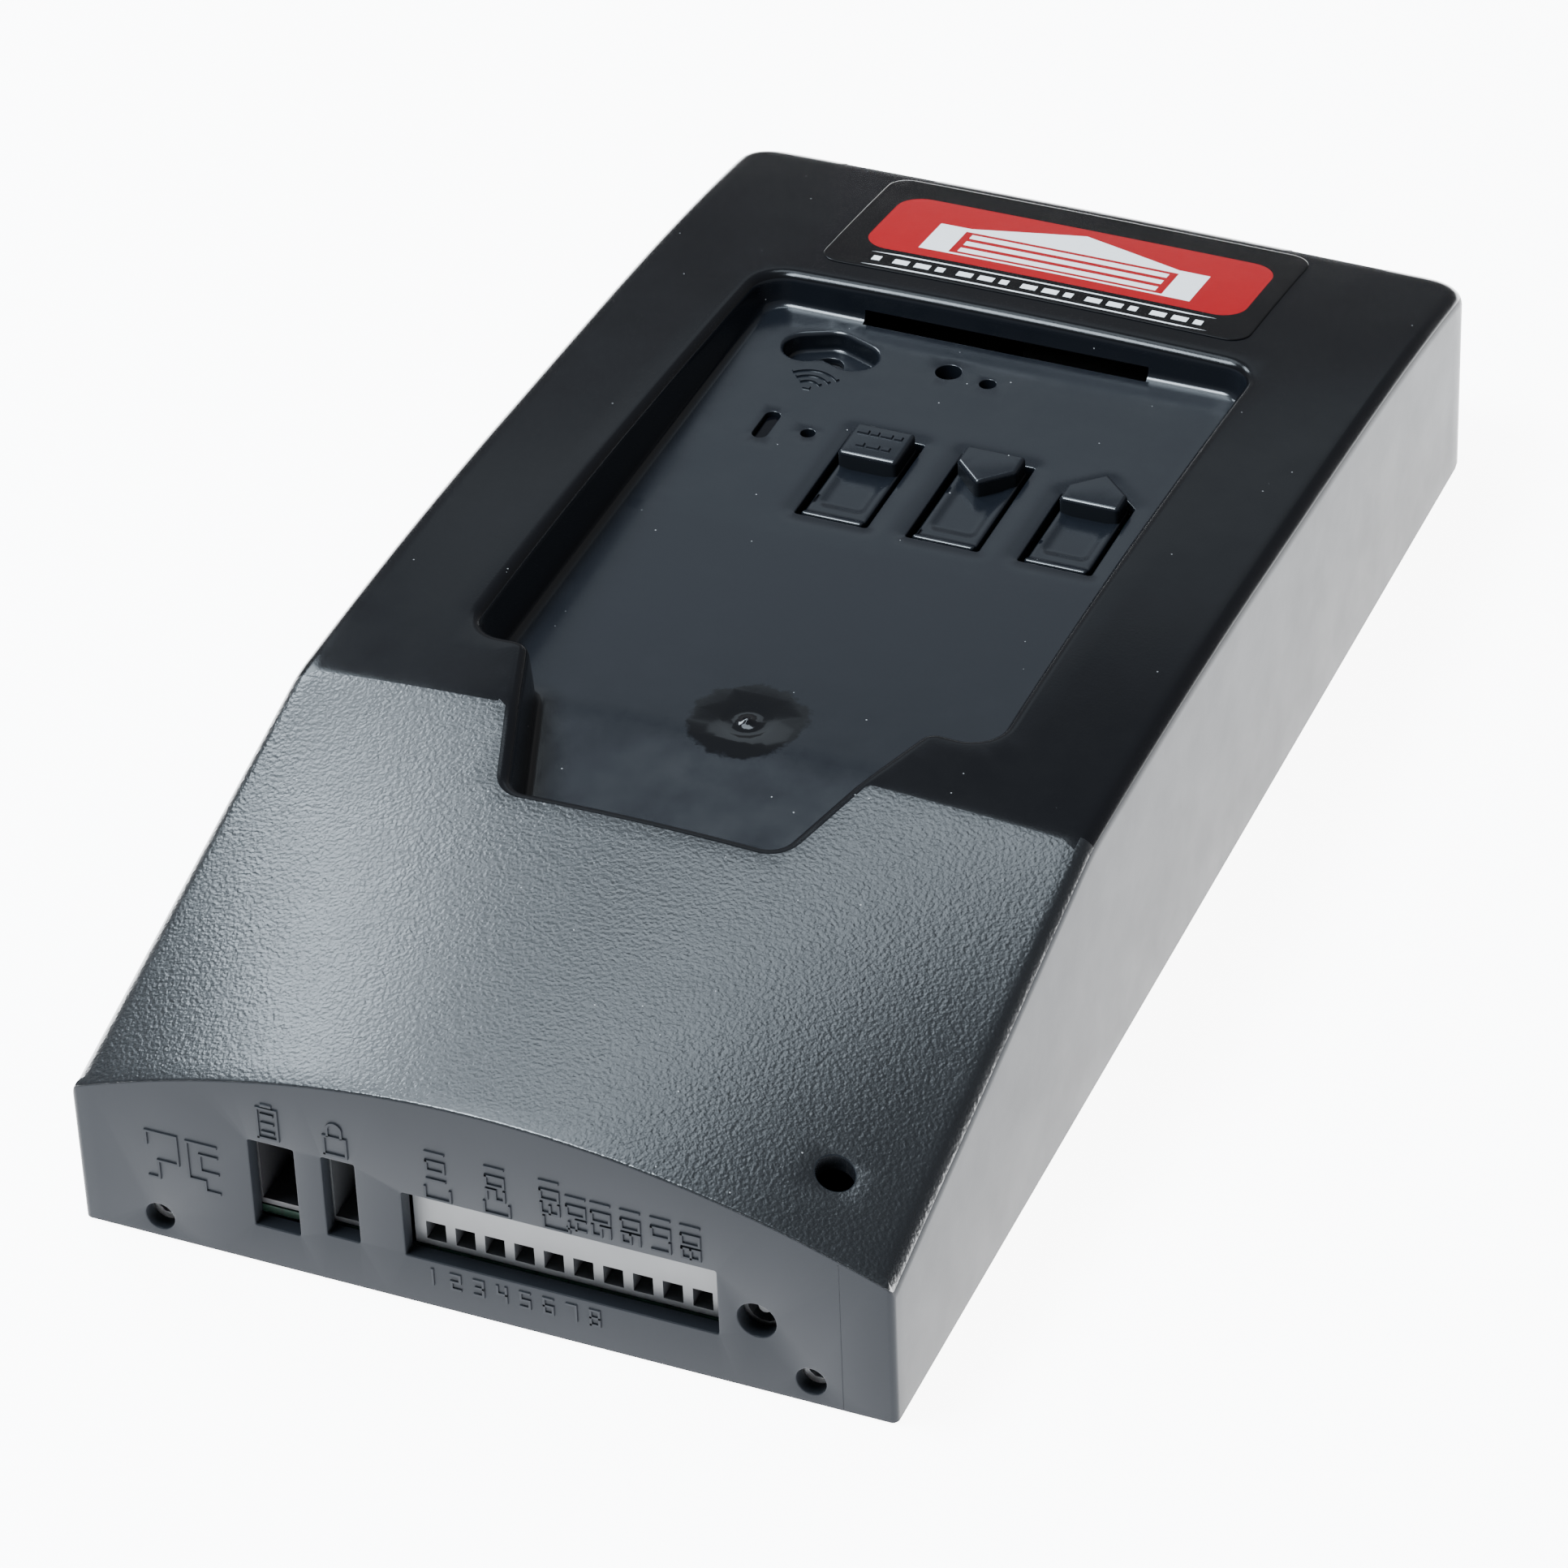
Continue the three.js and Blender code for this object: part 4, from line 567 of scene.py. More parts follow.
BLACK = (0.010, 0.0112, 0.0135)
LOOKS = {
    "slope": moulded("spark_eroded_black", (0.0035, 0.0045, 0.006), 0.3,
                     [(1500, 0.9, 0.00007), (3000, 0.9, 0.00003)], 0.02, 0.3, specular=0.8, tint=1.1),
    "satin": moulded("satin_black", BLACK, 0.36, [(3000, 0.12, 0.00003)], 0.03, specular=0.05),
    "back": moulded("fine_grain_black", (0.0036, 0.0038, 0.0048), 0.2, [(2600, 0.2, 0.00003)], 0.03, 0.2,
                    specular=0.22, tint=1.15),
    "gloss": moulded("smooth_black", (0.0062, 0.0076, 0.0105), 0.22, [(700, 0.05, 0.00003)], 0.04, 0.3,
                     specular=0.5, tint=1.15, stained=True),
    "label_film": moulded("label_film", (0.0045, 0.0042, 0.0045), 0.22, [(2200, 0.1, 0.00003)], 0.04,
                          specular=0.12),
    "label_red": moulded("label_red", (0.3, 0.002, 0.006), 0.35, [(2200, 0.1, 0.00003)], 0.04, specular=0.15,
                         tint=1.05),
    "label_white": moulded("label_white", (0.9, 0.9, 0.9), 0.35, [(2200, 0.1, 0.00003)], 0.04, specular=0.15,
                           tint=1.02),
}
SLOT_LOOKS = {
    "black_abs": LOOKS["satin"],
    "label_film": LOOKS["label_film"],
    "zinc_steel": metal("zinc_plate", (0.62, 0.63, 0.65), 0.36, (1, 12, 1)),
    "green_board": board_look("solder_mask", (0.002, 0.012, 0.007)),
    "pale_nylon": moulded("pale_nylon", (0.035, 0.037, 0.04), 0.42, [(900, 0.1, 0.00004)], tint=1.08),
    "dark_plastic": moulded("dark_plastic", (0.016, 0.016, 0.018), 0.42, [(1500, 0.2, 0.00005)]),
    "smoked_lens": moulded("smoked_lens", (0.002, 0.002, 0.003), 0.15, [(300, 0.05, 0.00002)], 0.03,
                           specular=0.1),
    "blue_case": moulded("relay_case", (0.02, 0.06, 0.25), 0.35, [(900, 0.1, 0.00004)]),
    "raw_aluminium": metal("extruded_aluminium", (0.72, 0.72, 0.74), 0.32, (1, 1, 14)),
    "copper_winding": metal("enamelled_copper", (0.62, 0.25, 0.1), 0.3, (14, 1, 1)),
    "ferrite": moulded("ferrite", (0.05, 0.05, 0.055), 0.6, [(1400, 0.35, 0.00008)]),
    "bronze": metal("sintered_bronze", (0.6, 0.38, 0.16), 0.45, (1, 1, 1), 0.12),
    "grey_nylon": moulded("glass_filled_nylon", (0.07, 0.074, 0.082), 0.5, [(1100, 0.3, 0.00008)]),
    "capacitor_sleeve": moulded("capacitor_sleeve", (0.02, 0.03, 0.07), 0.25, [(200, 0.1, 0.00006)]),
    "grey_cable": moulded("flat_cable", (0.4, 0.4, 0.41), 0.45, [(1500, 0.2, 0.00005)]),
}


# ---- Cover ---------------------------------------------------------------------------
def shell_outline():
    corners = rectangle(-HALF, HALF, NEAR, END)
    points = rounded(corners, [CORNER_R, CORNER_R, FAR_CORNER_R, FAR_CORNER_R], 6, [60, 94, 60, 94])
    count = len(points)
    normals = []
    for i in range(count):
        a, b = points[i - 1], points[(i + 1) % count]
        along = Vector((b[0] - a[0], b[1] - a[1])).normalized()
        normals.append((along.y, -along.x))
    return points, normals


def roll_radius(normal):
    end = FAR_ROLL if normal[1] > 0 else NEAR_ROLL
    share = normal[1] ** 2
    return SIDE_ROLL * (1 - share) + end * share


def shell_ring(outline, turn):
    ring = []
    for (x, y), (nx, ny) in zip(*outline):
        radius = roll_radius((nx, ny))
        inset = radius * (1 - math.cos(turn))
        px, py = x - nx * inset, y - ny * inset
        ring.append((px, py, top_height(px, py) - radius * (1 - math.sin(turn))))
    return ring


def end_openings():
    """Outlines of the terminal end's openings, as functions of how far they are grown."""
    def slot_outline(slot):
        x0, x1, z0, z1 = slot
        return lambda grow: rounded(rectangle(x0 - grow, x1 + grow, z0 - grow, z1 + grow), 0.35 + grow, 3)

    slots = [slot_outline(slot) for slot in (TERMINAL_SLOT, LOCK_SLOT, BATTERY_SLOT)]
    holes = [lambda grow, h=hole: circle(h[0], h[1], h[2] + grow) for hole in END_HOLES]
    return slots + holes


def panel_openings():
    keys = [
        lambda grow, k=kind, x=x: aperture_outline(k, x, grow) for kind, x in zip(KINDS, BUTTON_X)
    ]
    holes = [lambda grow, h=hole: circle(h[0], h[1], h[2] + grow, 24) for hole in PANEL_HOLES]
    x, y, half, long = LENS
    box = lambda grow: rectangle(x - half - grow, x + half + grow, y - long - grow, y + long + grow)
    lens = lambda grow: rounded(box(grow), (half + grow) * 0.99, 6)
    return keys, holes + [lens]


def panel_dish(x, y, rings):
    """How far the panel dips towards the button openings, and the nub left by the moulding gate."""
    away = min(distance([(x, y)], ring)[0] for ring in rings)
    dip = DISH * math.exp(-(away / 1.5) ** 2)
    gate = math.hypot(x - GATE[0], y - GATE[1])
    return dip - 0.5 * math.exp(-(gate / 0.8) ** 2) + 0.35 * math.exp(-((gate - 3) / 1.6) ** 2)


def cover_zone(x, y):
    return "slope" if y < CREASE_Y else "back"


def outer_skin(skin, outline):
    """Rolled top edge, sides, terminal end face and bottom edge. Gives the loops that others join."""
    normals = outline[1]
    rings = [skin.loop(shell_ring(outline, t)) for t in QUARTER]
    edge_zone = [cover_zone(*p) for p in outline[0]]
    for k, (a, b) in enumerate(zip(rings, rings[1:])):
        skin.band(a, b, (lambda i: edge_zone[i]) if k > 1 else "satin")
    base = skin.loop([(x, y, GAP) for x, y in outline[0]])
    foot = skin.loop([(x - nx * GAP, y - ny * GAP, 0) for (x, y), (nx, ny) in zip(*outline)])
    near = [i for i, n in enumerate(normals) if n[1] < -0.9999]
    skin.band(rings[0], base, "satin", skip=set(near[:-1]))
    skin.band(base, foot, "satin")
    face = [rings[0][i] for i in near] + [base[i] for i in reversed(near)]
    return rings[-1], foot, face


def inner_skin(skin, outline, foot):
    normals = outline[1]
    inset = [(x - nx * WALL, y - ny * WALL) for (x, y), (nx, ny) in zip(*outline)]
    lip = skin.loop([(x, y, 0) for x, y in inset])
    crest = skin.loop([(x, y, top_height(x, y) - WALL - 1) for x, y in inset])
    skin.band(foot, lip, "satin")
    near = [i for i, n in enumerate(normals) if n[1] < -0.9999]
    skin.band(lip, crest, "satin", skip=set(near[:-1]))
    face = [lip[i] for i in near] + [crest[i] for i in reversed(near)]
    return crest, face


def recess_rings(skin):
    """Rolled rim, drafted wall and floor fillet of the recess, from the top surface to the floor."""
    rings, zones = [], []
    for t in QUARTER:
        grow = RIM_ROLL * (1 - math.cos(math.pi / 2 - t))
        drop = RIM_ROLL * (1 - math.sin(math.pi / 2 - t))
        rings.append([(x, y, top_height(x, y) - drop) for x, y in recess_outline(grow)])
        zones.append("back" if t < 0.8 else "gloss")
    for t in QUARTER:
        grow = -WALL_DRAFT - FLOOR_FILLET * (1 - math.cos(t))
        lift = FLOOR_FILLET * (1 - math.sin(t))
        rings.append([(x, y, floor_height(y) + lift) for x, y in recess_outline(grow)])
        zones.append("gloss")
    loops = [skin.loop(ring) for ring in rings]
    for a, b, zone in zip(loops, loops[1:], zones):
        skin.band(a, b, zone)
    return loops[0], loops[-1]


def pocket(skin):
    """The scooped pocket, its floor with the network hole, and its underside."""
    mouth = lambda u, v, d: (u, v, floor_height(v) - d)
    deep = floor_height(POCKET_PATH[1][1]) - POCKET_DEPTH
    roll = 0.8
    loops = []
    for t in QUARTER:
        ring = pocket_outline(roll * (1 - math.sin(t)))
        loops.append(skin.loop([mouth(u, v, roll * (1 - math.cos(t))) for u, v in ring]))
    for t in QUARTER:
        ring = pocket_outline(-roll * (1 - math.cos(t)))
        loops.append(skin.loop([(u, v, deep + roll * (1 - math.sin(t))) for u, v in ring]))
    for a, b in zip(loops, loops[1:]):
        skin.band(a, b, "gloss")
    x, y, radius = NETWORK_HOLE
    hole = lambda grow: circle(x, y, radius + grow)
    upper, lower = tunnel(skin, hole, lambda u, v, d: (u, v, deep - d), POCKET_FLOOR, "gloss", 0.15)
    skin.patch([loops[-1], upper], flat, lambda u, v: (u, v, deep), "gloss")
    below = skin.loop([(u, v, deep - POCKET_FLOOR) for u, v in pocket_outline(POCKET_WALL)])
    above = skin.loop([(u, v, floor_height(v) - WALL) for u, v in pocket_outline(POCKET_WALL)])
    skin.patch([below, lower], flat, lambda u, v: (u, v, deep - POCKET_FLOOR), "satin")
    skin.band(below, above, "satin")
    return loops[0], above


def build_cover():
    skin = Skin()
    outline = shell_outline()
    top_edge, foot, end_face = outer_skin(skin, outline)
    inner_top, inner_face = inner_skin(skin, outline, foot)

    mouths, backs = [], []
    for shape in end_openings():
        mouth, back = tunnel(skin, shape, lambda u, v, d: (u, NEAR + d, v), WALL, "satin")
        mouths.append(mouth)
        backs.append(back)
    upright = lambda p: (p[0], p[2])
    skin.patch([end_face, *mouths], upright, lambda u, v: (u, NEAR, v), "satin")
    skin.patch([inner_face, *backs], upright, lambda u, v: (u, NEAR + WALL, v), "satin")

    rim, floor_edge = recess_rings(skin)
    spots = grid(-HALF + 4, HALF - 4, NEAR + 4, END - 6, 4.5)
    spots = [s for s in spots if abs(s[1] - CREASE_Y) > 4]
    for off in (-3, -1.5, -0.6, 0, 0.6, 1.5, 3):
        spots += [(x, CREASE_Y + off) for x in np.arange(-HALF + 4, HALF - 4, 3)]
    aerial_hole = lambda grow: circle(*AERIAL[:2], AERIAL[2] + grow)
    under_top = lambda u, v, d: (u, v, top_height(u, v) - d)
    aerial, aerial_back = tunnel(skin, aerial_hole, under_top, WALL, "satin")
    skin.patch([top_edge, rim, aerial], flat, lambda u, v: (u, v, top_height(u, v)), cover_zone, spots)

    keys, holes = panel_openings()
    key_rings = [shape(0.25) for shape in keys]
    dished = lambda u, v: (u, v, floor_height(v) - panel_dish(u, v, key_rings))
    openings, unders = [], []
    for shape in keys:
        base = lambda u, v, d: (u, v, floor_height(v) - DISH - d)
        mouth, back = tunnel(skin, shape, base, WALL - DISH, "gloss")
        openings.append(mouth)
        unders.append(back)
    for shape in holes:
        base = lambda u, v, d: (u, v, floor_height(v) - d)
        mouth, back = tunnel(skin, shape, base, WALL, "gloss", 0.15)
        openings.append(mouth)
        unders.append(back)
    pocket_mouth, pocket_under = pocket(skin)
    coarse = grid(-RECESS_HALF + 2, RECESS_HALF - 2, TAB_NEAR + 3, RECESS_FAR - 3, 3.5)
    near_key = np.min([distance(coarse, ring) for ring in key_rings], axis=0) > 5
    coarse = [s for s, far in zip(coarse, near_key) if far and abs(s[1] - PANEL_START) > 1.5]
    fine = grid(BUTTON_X[0] - 12, BUTTON_X[2] + 12, BUTTON_ROOT - 6, BUTTON_END + 7, 1.1)
    close = np.min([distance(fine, ring) for ring in key_rings], axis=0) < 5
    fine = [s for s, n in zip(fine, close) if n and s[1] > PANEL_START + 1]
    rows = [(x, y + off) for y in (PANEL_START, SHOULDER) for off in (-0.25, 0.25)
            for x in np.arange(-RECESS_HALF + 3, RECESS_HALF - 2, 2.5)]
    gate = [(GATE[0] + r * math.cos(t), GATE[1] + r * math.sin(t))
            for r in (0.01, 0.5, 1, 1.6, 2.4, 3.2, 4.2, 5.4) for t in np.arange(0, 6.2, 0.4)]
    coarse = [s for s in coarse if math.hypot(s[0] - GATE[0], s[1] - GATE[1]) > 6.5]
    skin.patch([floor_edge, pocket_mouth, *openings], flat, dished, "gloss", coarse + fine + rows + gate)

    crown = skin.loop([(x, y, top_height(x, y) - WALL) for x, y in recess_outline(WALL)])
    tub = skin.loop([(x, y, floor_height(y) - WALL) for x, y in recess_outline(WALL)])
    skin.band(crown, tub, "satin")
    inner_spots = grid(-HALF + 8, HALF - 8, NEAR + 8, END - 8, 12)
    lining = lambda u, v: (u, v, top_height(u, v) - WALL)
    underside = lambda u, v: (u, v, floor_height(v) - WALL)
    skin.patch([inner_top, crown, aerial_back], flat, lining, "satin", inner_spots)
    skin.patch([tub, pocket_under, *unders], flat, underside, "satin", inner_spots)
    cover = skin.build("cover_moulding", LOOKS, "housing", ["cover"])
    fold = floor_height(RECESS_FAR)
    hinge = (-HINGE_HALF, HINGE_HALF, HINGE_NEAR, RECESS_FAR + WALL + 1, fold - 5, fold + 2.2)
    boxes = [hinge]
    for x0, x1 in NOTCHES:
        foot = top_height((x0 + x1) / 2, END) - FAR_ROLL + 1
        boxes.append((x0, x1, END - NOTCH_DEPTH, END + 5, foot, foot + 20))
    carve(cover, boxes, LOOKS["satin"])
    return cover


def carve(piece, boxes, material):
    """Cuts boxes out of a piece for good."""
    skin = Skin()
    for x0, x1, y0, y1, z0, z1 in boxes:
        low, high = (skin.loop([(x, y, z) for x, y in rectangle(x0, x1, y0, y1)]) for z in (z0, z1))
        skin.band(low, high, "cut")
        skin.face(tuple(reversed(low)), "cut")
        skin.face(tuple(high), "cut")
    mesh = bpy.data.meshes.new("cutter")
    mesh.from_pydata([[c * MM for c in p] for p in skin.points], [], skin.faces)
    mesh.materials.append(material)
    cutter = bpy.data.objects.new("cutter", mesh)
    bpy.context.scene.collection.objects.link(cutter)
    modifier = piece.modifiers.new("carve", "BOOLEAN")
    modifier.operation = "DIFFERENCE"
    modifier.solver = "EXACT"
    modifier.material_mode = "TRANSFER"
    modifier.object = cutter
    graph = bpy.context.evaluated_depsgraph_get()
    carved = bpy.data.meshes.new_from_object(piece.evaluated_get(graph))
    piece.modifiers.clear()
    piece.data = carved
    bpy.data.objects.remove(cutter)


build_cover()


# ---- Raised marks --------------------------------------------------------------------
DIGITS = {
    "0": [[(0, 0), (1, 0), (1, 2), (0, 2), (0, 0)]],
    "1": [[(0.5, 0), (0.5, 2)]],
    "2": [[(0, 2), (1, 2), (1, 1), (0, 1), (0, 0), (1, 0)]],
    "3": [[(0, 2), (1, 2), (1, 0), (0, 0)], [(0.2, 1), (1, 1)]],
    "4": [[(0, 2), (0, 1), (1, 1)], [(1, 2), (1, 0)]],
    "5": [[(1, 2), (0, 2), (0, 1), (1, 1), (1, 0), (0, 0)]],
    "6": [[(1, 2), (0, 2), (0, 0), (1, 0), (1, 1), (0, 1)]],
    "7": [[(0, 2), (1, 2), (1, 0)]],
    "8": [[(0, 0), (1, 0), (1, 2), (0, 2), (0, 0)], [(0, 1), (1, 1)]],
    "9": [[(1, 1), (0, 1), (0, 2), (1, 2), (1, 0), (0, 0)]],
}


def stroke(skin, line, width, rise, place, zone="mark"):
    """A raised line with mitred corners and drafted sides. place takes u, v and a height."""
    points = [Vector(p) for p in line]
    ways = [(b - a).normalized() for a, b in zip(points, points[1:])]
    rows = []
    for i, point in enumerate(points):
        before, after = ways[max(i - 1, 0)], ways[min(i, len(ways) - 1)]
        side = Vector((-(before + after).y, (before + after).x)).normalized()
        reach = width / 2 / max(0.4, side.dot(Vector((-after.y, after.x))))
        end = Vector((0, 0))
        if i == 0:
            end = ways[0] * -width / 2
        elif i == len(points) - 1:
            end = ways[-1] * width / 2
        row = []
        for share, height in ((1, -0.05), (0.7, rise), (-0.7, rise), (-1, -0.05)):
            at = point + side * reach * share + end * abs(share)
            row.append(place(at.x, at.y, height))
        rows.append(skin.loop(row))
    for a, b in zip(rows, rows[1:]):
        for k in range(4):
            j = (k + 1) % 4
            skin.face((a[k], a[j], b[j], b[k]), zone)
    skin.face(tuple(rows[0]), zone)
    skin.face(tuple(reversed(rows[-1])), zone)


def number(skin, text, origin, size, upright, width, rise, place):
    """Digits in a row along +u, or, when not upright, stacked along -v and turned."""
    wide, high = size
    for k, digit in enumerate(text):
        for line in DIGITS[digit]:
            along = [(k * wide * 1.45 + a * wide, b * high / 2) for a, b in line]
            if upright:
                moved = [(origin[0] + a, origin[1] + b) for a, b in along]
            else:
                moved = [(origin[0] + b, origin[1] - a) for a, b in along]
            stroke(skin, moved, width, rise, place)


def arc_line(x, y, radius, start, end, steps=12):
    turns = [math.radians(start + (end - start) * k / steps) for k in range(steps + 1)]
    return [(x + radius * math.cos(t), y + radius * math.sin(t)) for t in turns]


def end_marks():
    skin = Skin()
    place = lambda u, v, d: (u, NEAR - d, v)
    rise, line = MARK_RISE, MARK_LINE
    top = TERMINAL_SLOT[3]
    pitch = TERMINAL_PITCH
    first = (TERMINAL_SLOT[0] + TERMINAL_SLOT[1]) / 2 - 5 * pitch
    for pair in (0, 2, 4):
        x0 = first + (pair + 0.55) * pitch + 0.25
        x1 = x0 + pitch * 0.95 - 0.5
        bracket = [(x0, top + 2.8), (x0, top + 0.65), (x1, top + 0.65), (x1, top + 2.8)]
        stroke(skin, bracket, 0.5, rise, place)
    for k, x in enumerate(NUMBER_COLUMNS):
        base = 33.6 if k < 3 else 31.6
        number(skin, f"10{k + 1}", (x - 1.5, base), (1.9, 3), False, line, rise, place)
    for k in range(8):
        number(skin, str(k + 1), (-9 + 4 * k, 5.1), (1.5, 3), True, line, rise, place)
    x, z = BATTERY_MARK
    case = rectangle(x - 1.7, x + 1.7, z - 3.4, z + 2.6)
    stroke(skin, case + case[:1], line, rise, place)
    stroke(skin, [(x - 0.7, z + 3.3), (x + 0.7, z + 3.3)], 0.7, rise, place)
    for level in (-2.2, -0.4, 1.4):
        stroke(skin, [(x - 0.9, z + level), (x + 0.9, z + level)], 0.6, rise, place)
    x, z = LOCK_MARK
    case = rectangle(x - 1.9, x + 1.9, z - 3.2, z + 0.4)
    stroke(skin, case + case[:1], line, rise, place)
    stroke(skin, [(x + 1.2, z + 0.6), (x + 1.2, z + 2)] + arc_line(x, z + 2, 1.2, 15, 165, 8)
           + [(x - 1.2, z + 2), (x - 1.2, z + 0.6)], line, rise, place)
    x, z = CORNER_MARK
    stroke(skin, [(x - 6, z + 2.2), (x - 6, z + 4.8), (x - 0.6, z + 4.8), (x - 0.6, z - 1), (x - 4.2, z - 1),
                  (x - 4.2, z - 4.6), (x - 6, z - 4.6)], line, rise, place)
    stroke(skin, [(x + 6.4, z + 4.6), (x + 1.2, z + 4.6), (x + 1.2, z - 3), (x + 4, z - 3), (x + 4, z - 5),
                  (x + 6.4, z - 5)], line, rise, place)
    hook = [(x + 6.4, z - 1), (x + 3.4, z - 1), (x + 3.4, z + 2.4), (x + 6.4, z + 2.4)]
    stroke(skin, hook, line, rise, place)
    stroke(skin, [(61.5, 0.5), (61.5, 30.2)], 0.14, 0.05, place)
    skin.build("end_marks", {"mark": LOOKS["satin"]}, "housing")


def radio_mark():
    skin = Skin()
    place = lambda u, v, d: (u, v, floor_height(v) + d)
    x, y = RADIO_MARK
    for radius in (5.9, 4.2, 2.5):
        stroke(skin, arc_line(x, y, radius, 134, 46), 0.75, 0.28, place)
    stroke(skin, [(x - 0.3, y), (x + 0.3, y)], 0.9, 0.28, place)
    skin.build("radio_mark", {"mark": LOOKS["gloss"]}, "housing")


def offset(corners, grow):
    """A convex polygon, counter-clockwise, with every side moved outwards by grow."""
    lines = []
    for a, b in zip(corners, corners[1:] + corners[:1]):
        along = Vector((b[0] - a[0], b[1] - a[1])).normalized()
        lines.append((Vector(a) + Vector((along.y, -along.x)) * grow, along))
    out = []
    for (p, d), (q, e) in zip(lines[-1:] + lines[:-1], lines):
        share = (q - p).cross(e) / d.cross(e)
        out.append(tuple(p + d * share))
    return out


def cap_corners(kind, x):
    if kind == "program":
        return rectangle(x - CAP_HALF, x + CAP_HALF, CAP_START, BUTTON_END)
    far = kind == "up"
    point, flat = (BUTTON_END, CAP_START) if far else (CAP_START - 0.5, BUTTON_END)
    shoulder = point + (flat - point) * 0.52
    corners = [(x - CAP_HALF, flat), (x + CAP_HALF, flat), (x + CAP_HALF, shoulder), (x, point),
               (x - CAP_HALF, shoulder)]
    return corners if far else corners[::-1]


def build_button(kind, x):
    """A flexible tongue with a rounded root, dished along its middle, and a raised cap at its end."""
    skin = Skin()
    end = BUTTON_END - (CAP_HALF - 0.8 if kind == "up" else 0)
    root = BUTTON_ROOT

    def tongue_top(u, v):
        fold = 1 / (1 + math.exp((v - root - 1.3) / 0.22))
        inner = min(1, max(0, (TONGUE_HALF - 0.9 - abs(u - x)) / 1.6)) * min(1, max(0, (v - root - 3.5) / 2))
        drop = TONGUE_DROP * (1 - fold) + ROOT_DROP * fold
        return floor_height(v) - drop - TONGUE_DISH * inner * inner * (3 - 2 * inner)

    edge = TONGUE_EDGE
    outline = lambda grow: rounded(
        rectangle(x - TONGUE_HALF - grow, x + TONGUE_HALF + grow, root - grow, end + grow), 0.5 + grow, 3,
        [12, 40, 12, 40])
    rings = [skin.loop([(u, v, floor_height(v) - TONGUE_DROP - TONGUE_THICK) for u, v in outline(0)])]
    for t in QUARTER[::2]:
        inset = outline(-edge * (1 - math.cos(t)))
        rings.append(skin.loop([(u, v, tongue_top(u, v) - edge * (1 - math.sin(t))) for u, v in inset]))
    for a, b in zip(rings, rings[1:]):
        skin.band(a, b, "gloss")
    spots = grid(x - TONGUE_HALF + 0.4, x + TONGUE_HALF - 0.4, root + 0.4, end - 0.4, 0.55)
    skin.patch([rings[-1]], flat, lambda u, v: (u, v, tongue_top(u, v)), "gloss", spots)
    skin.patch([rings[0]], flat, lambda u, v: (u, v, floor_height(v) - TONGUE_DROP - TONGUE_THICK), "gloss")

    roll = CAP_ROLL
    top = floor_height(CAP_MIDDLE) + CAP_RISE
    low = top - CAP_RISE - TONGUE_DROP - 0.5
    corners = cap_corners(kind, x)
    shape = lambda grow: rounded(offset(corners, grow), max(0.15, 0.8 + grow), 4, [6] * len(corners))
    rings = [skin.loop([(u, v, low) for u, v in shape(0)])]
    for t in QUARTER:
        ring = shape(-roll * (1 - math.cos(t)))
        rings.append(skin.loop([(u, v, top - roll * (1 - math.sin(t))) for u, v in ring]))
    for a, b in zip(rings, rings[1:]):
        skin.band(a, b, "satin" if a is rings[0] else "gloss")
    skin.patch([rings[-1]], flat, lambda u, v: (u, v, top), "gloss")
    skin.patch([rings[0]], flat, lambda u, v: (u, v, low), "satin")
    skin.build(f"{kind}_key_cap", LOOKS, f"{kind}_key", [f"{kind}_button"])


def program_marks():
    skin = Skin()
    level = floor_height(CAP_MIDDLE) + CAP_RISE
    place = lambda u, v, d: (u, v, level + d)
    x = BUTTON_X[0]
    for k, width in enumerate((1.5, 0.5, 1.5, 0.5)):
        at = x - 3.3 + k * 2.2
        stroke(skin, [(at - width / 3, 52.6), (at + width / 3, 52.6)], 1.3, 0.3, place)
    for k, width in enumerate((0.5, 1.7, 0.5)):
        at = x - 2.4 + k * 2.4
        stroke(skin, [(at - width / 3, 48.8), (at + width / 3, 48.8)], 1.3, 0.3, place)
    skin.build("program_marks", {"mark": LOOKS["gloss"]}, "program_key")


end_marks()
radio_mark()
program_marks()
for key_kind, key_x in zip(KINDS, BUTTON_X):
    build_button(key_kind, key_x)


# ---- Label ---------------------------------------------------------------------------
def divided(corners, step):
    """The same outline with a point at least every step, so that it follows the crown."""
    out = []
    for a, b in zip(corners, corners[1:] + corners[:1]):
        count = max(1, math.ceil(math.dist(a, b) / step))
        out += [(a[0] + (b[0] - a[0]) * k / count, a[1] + (b[1] - a[1]) * k / count) for k in range(count)]
    return out


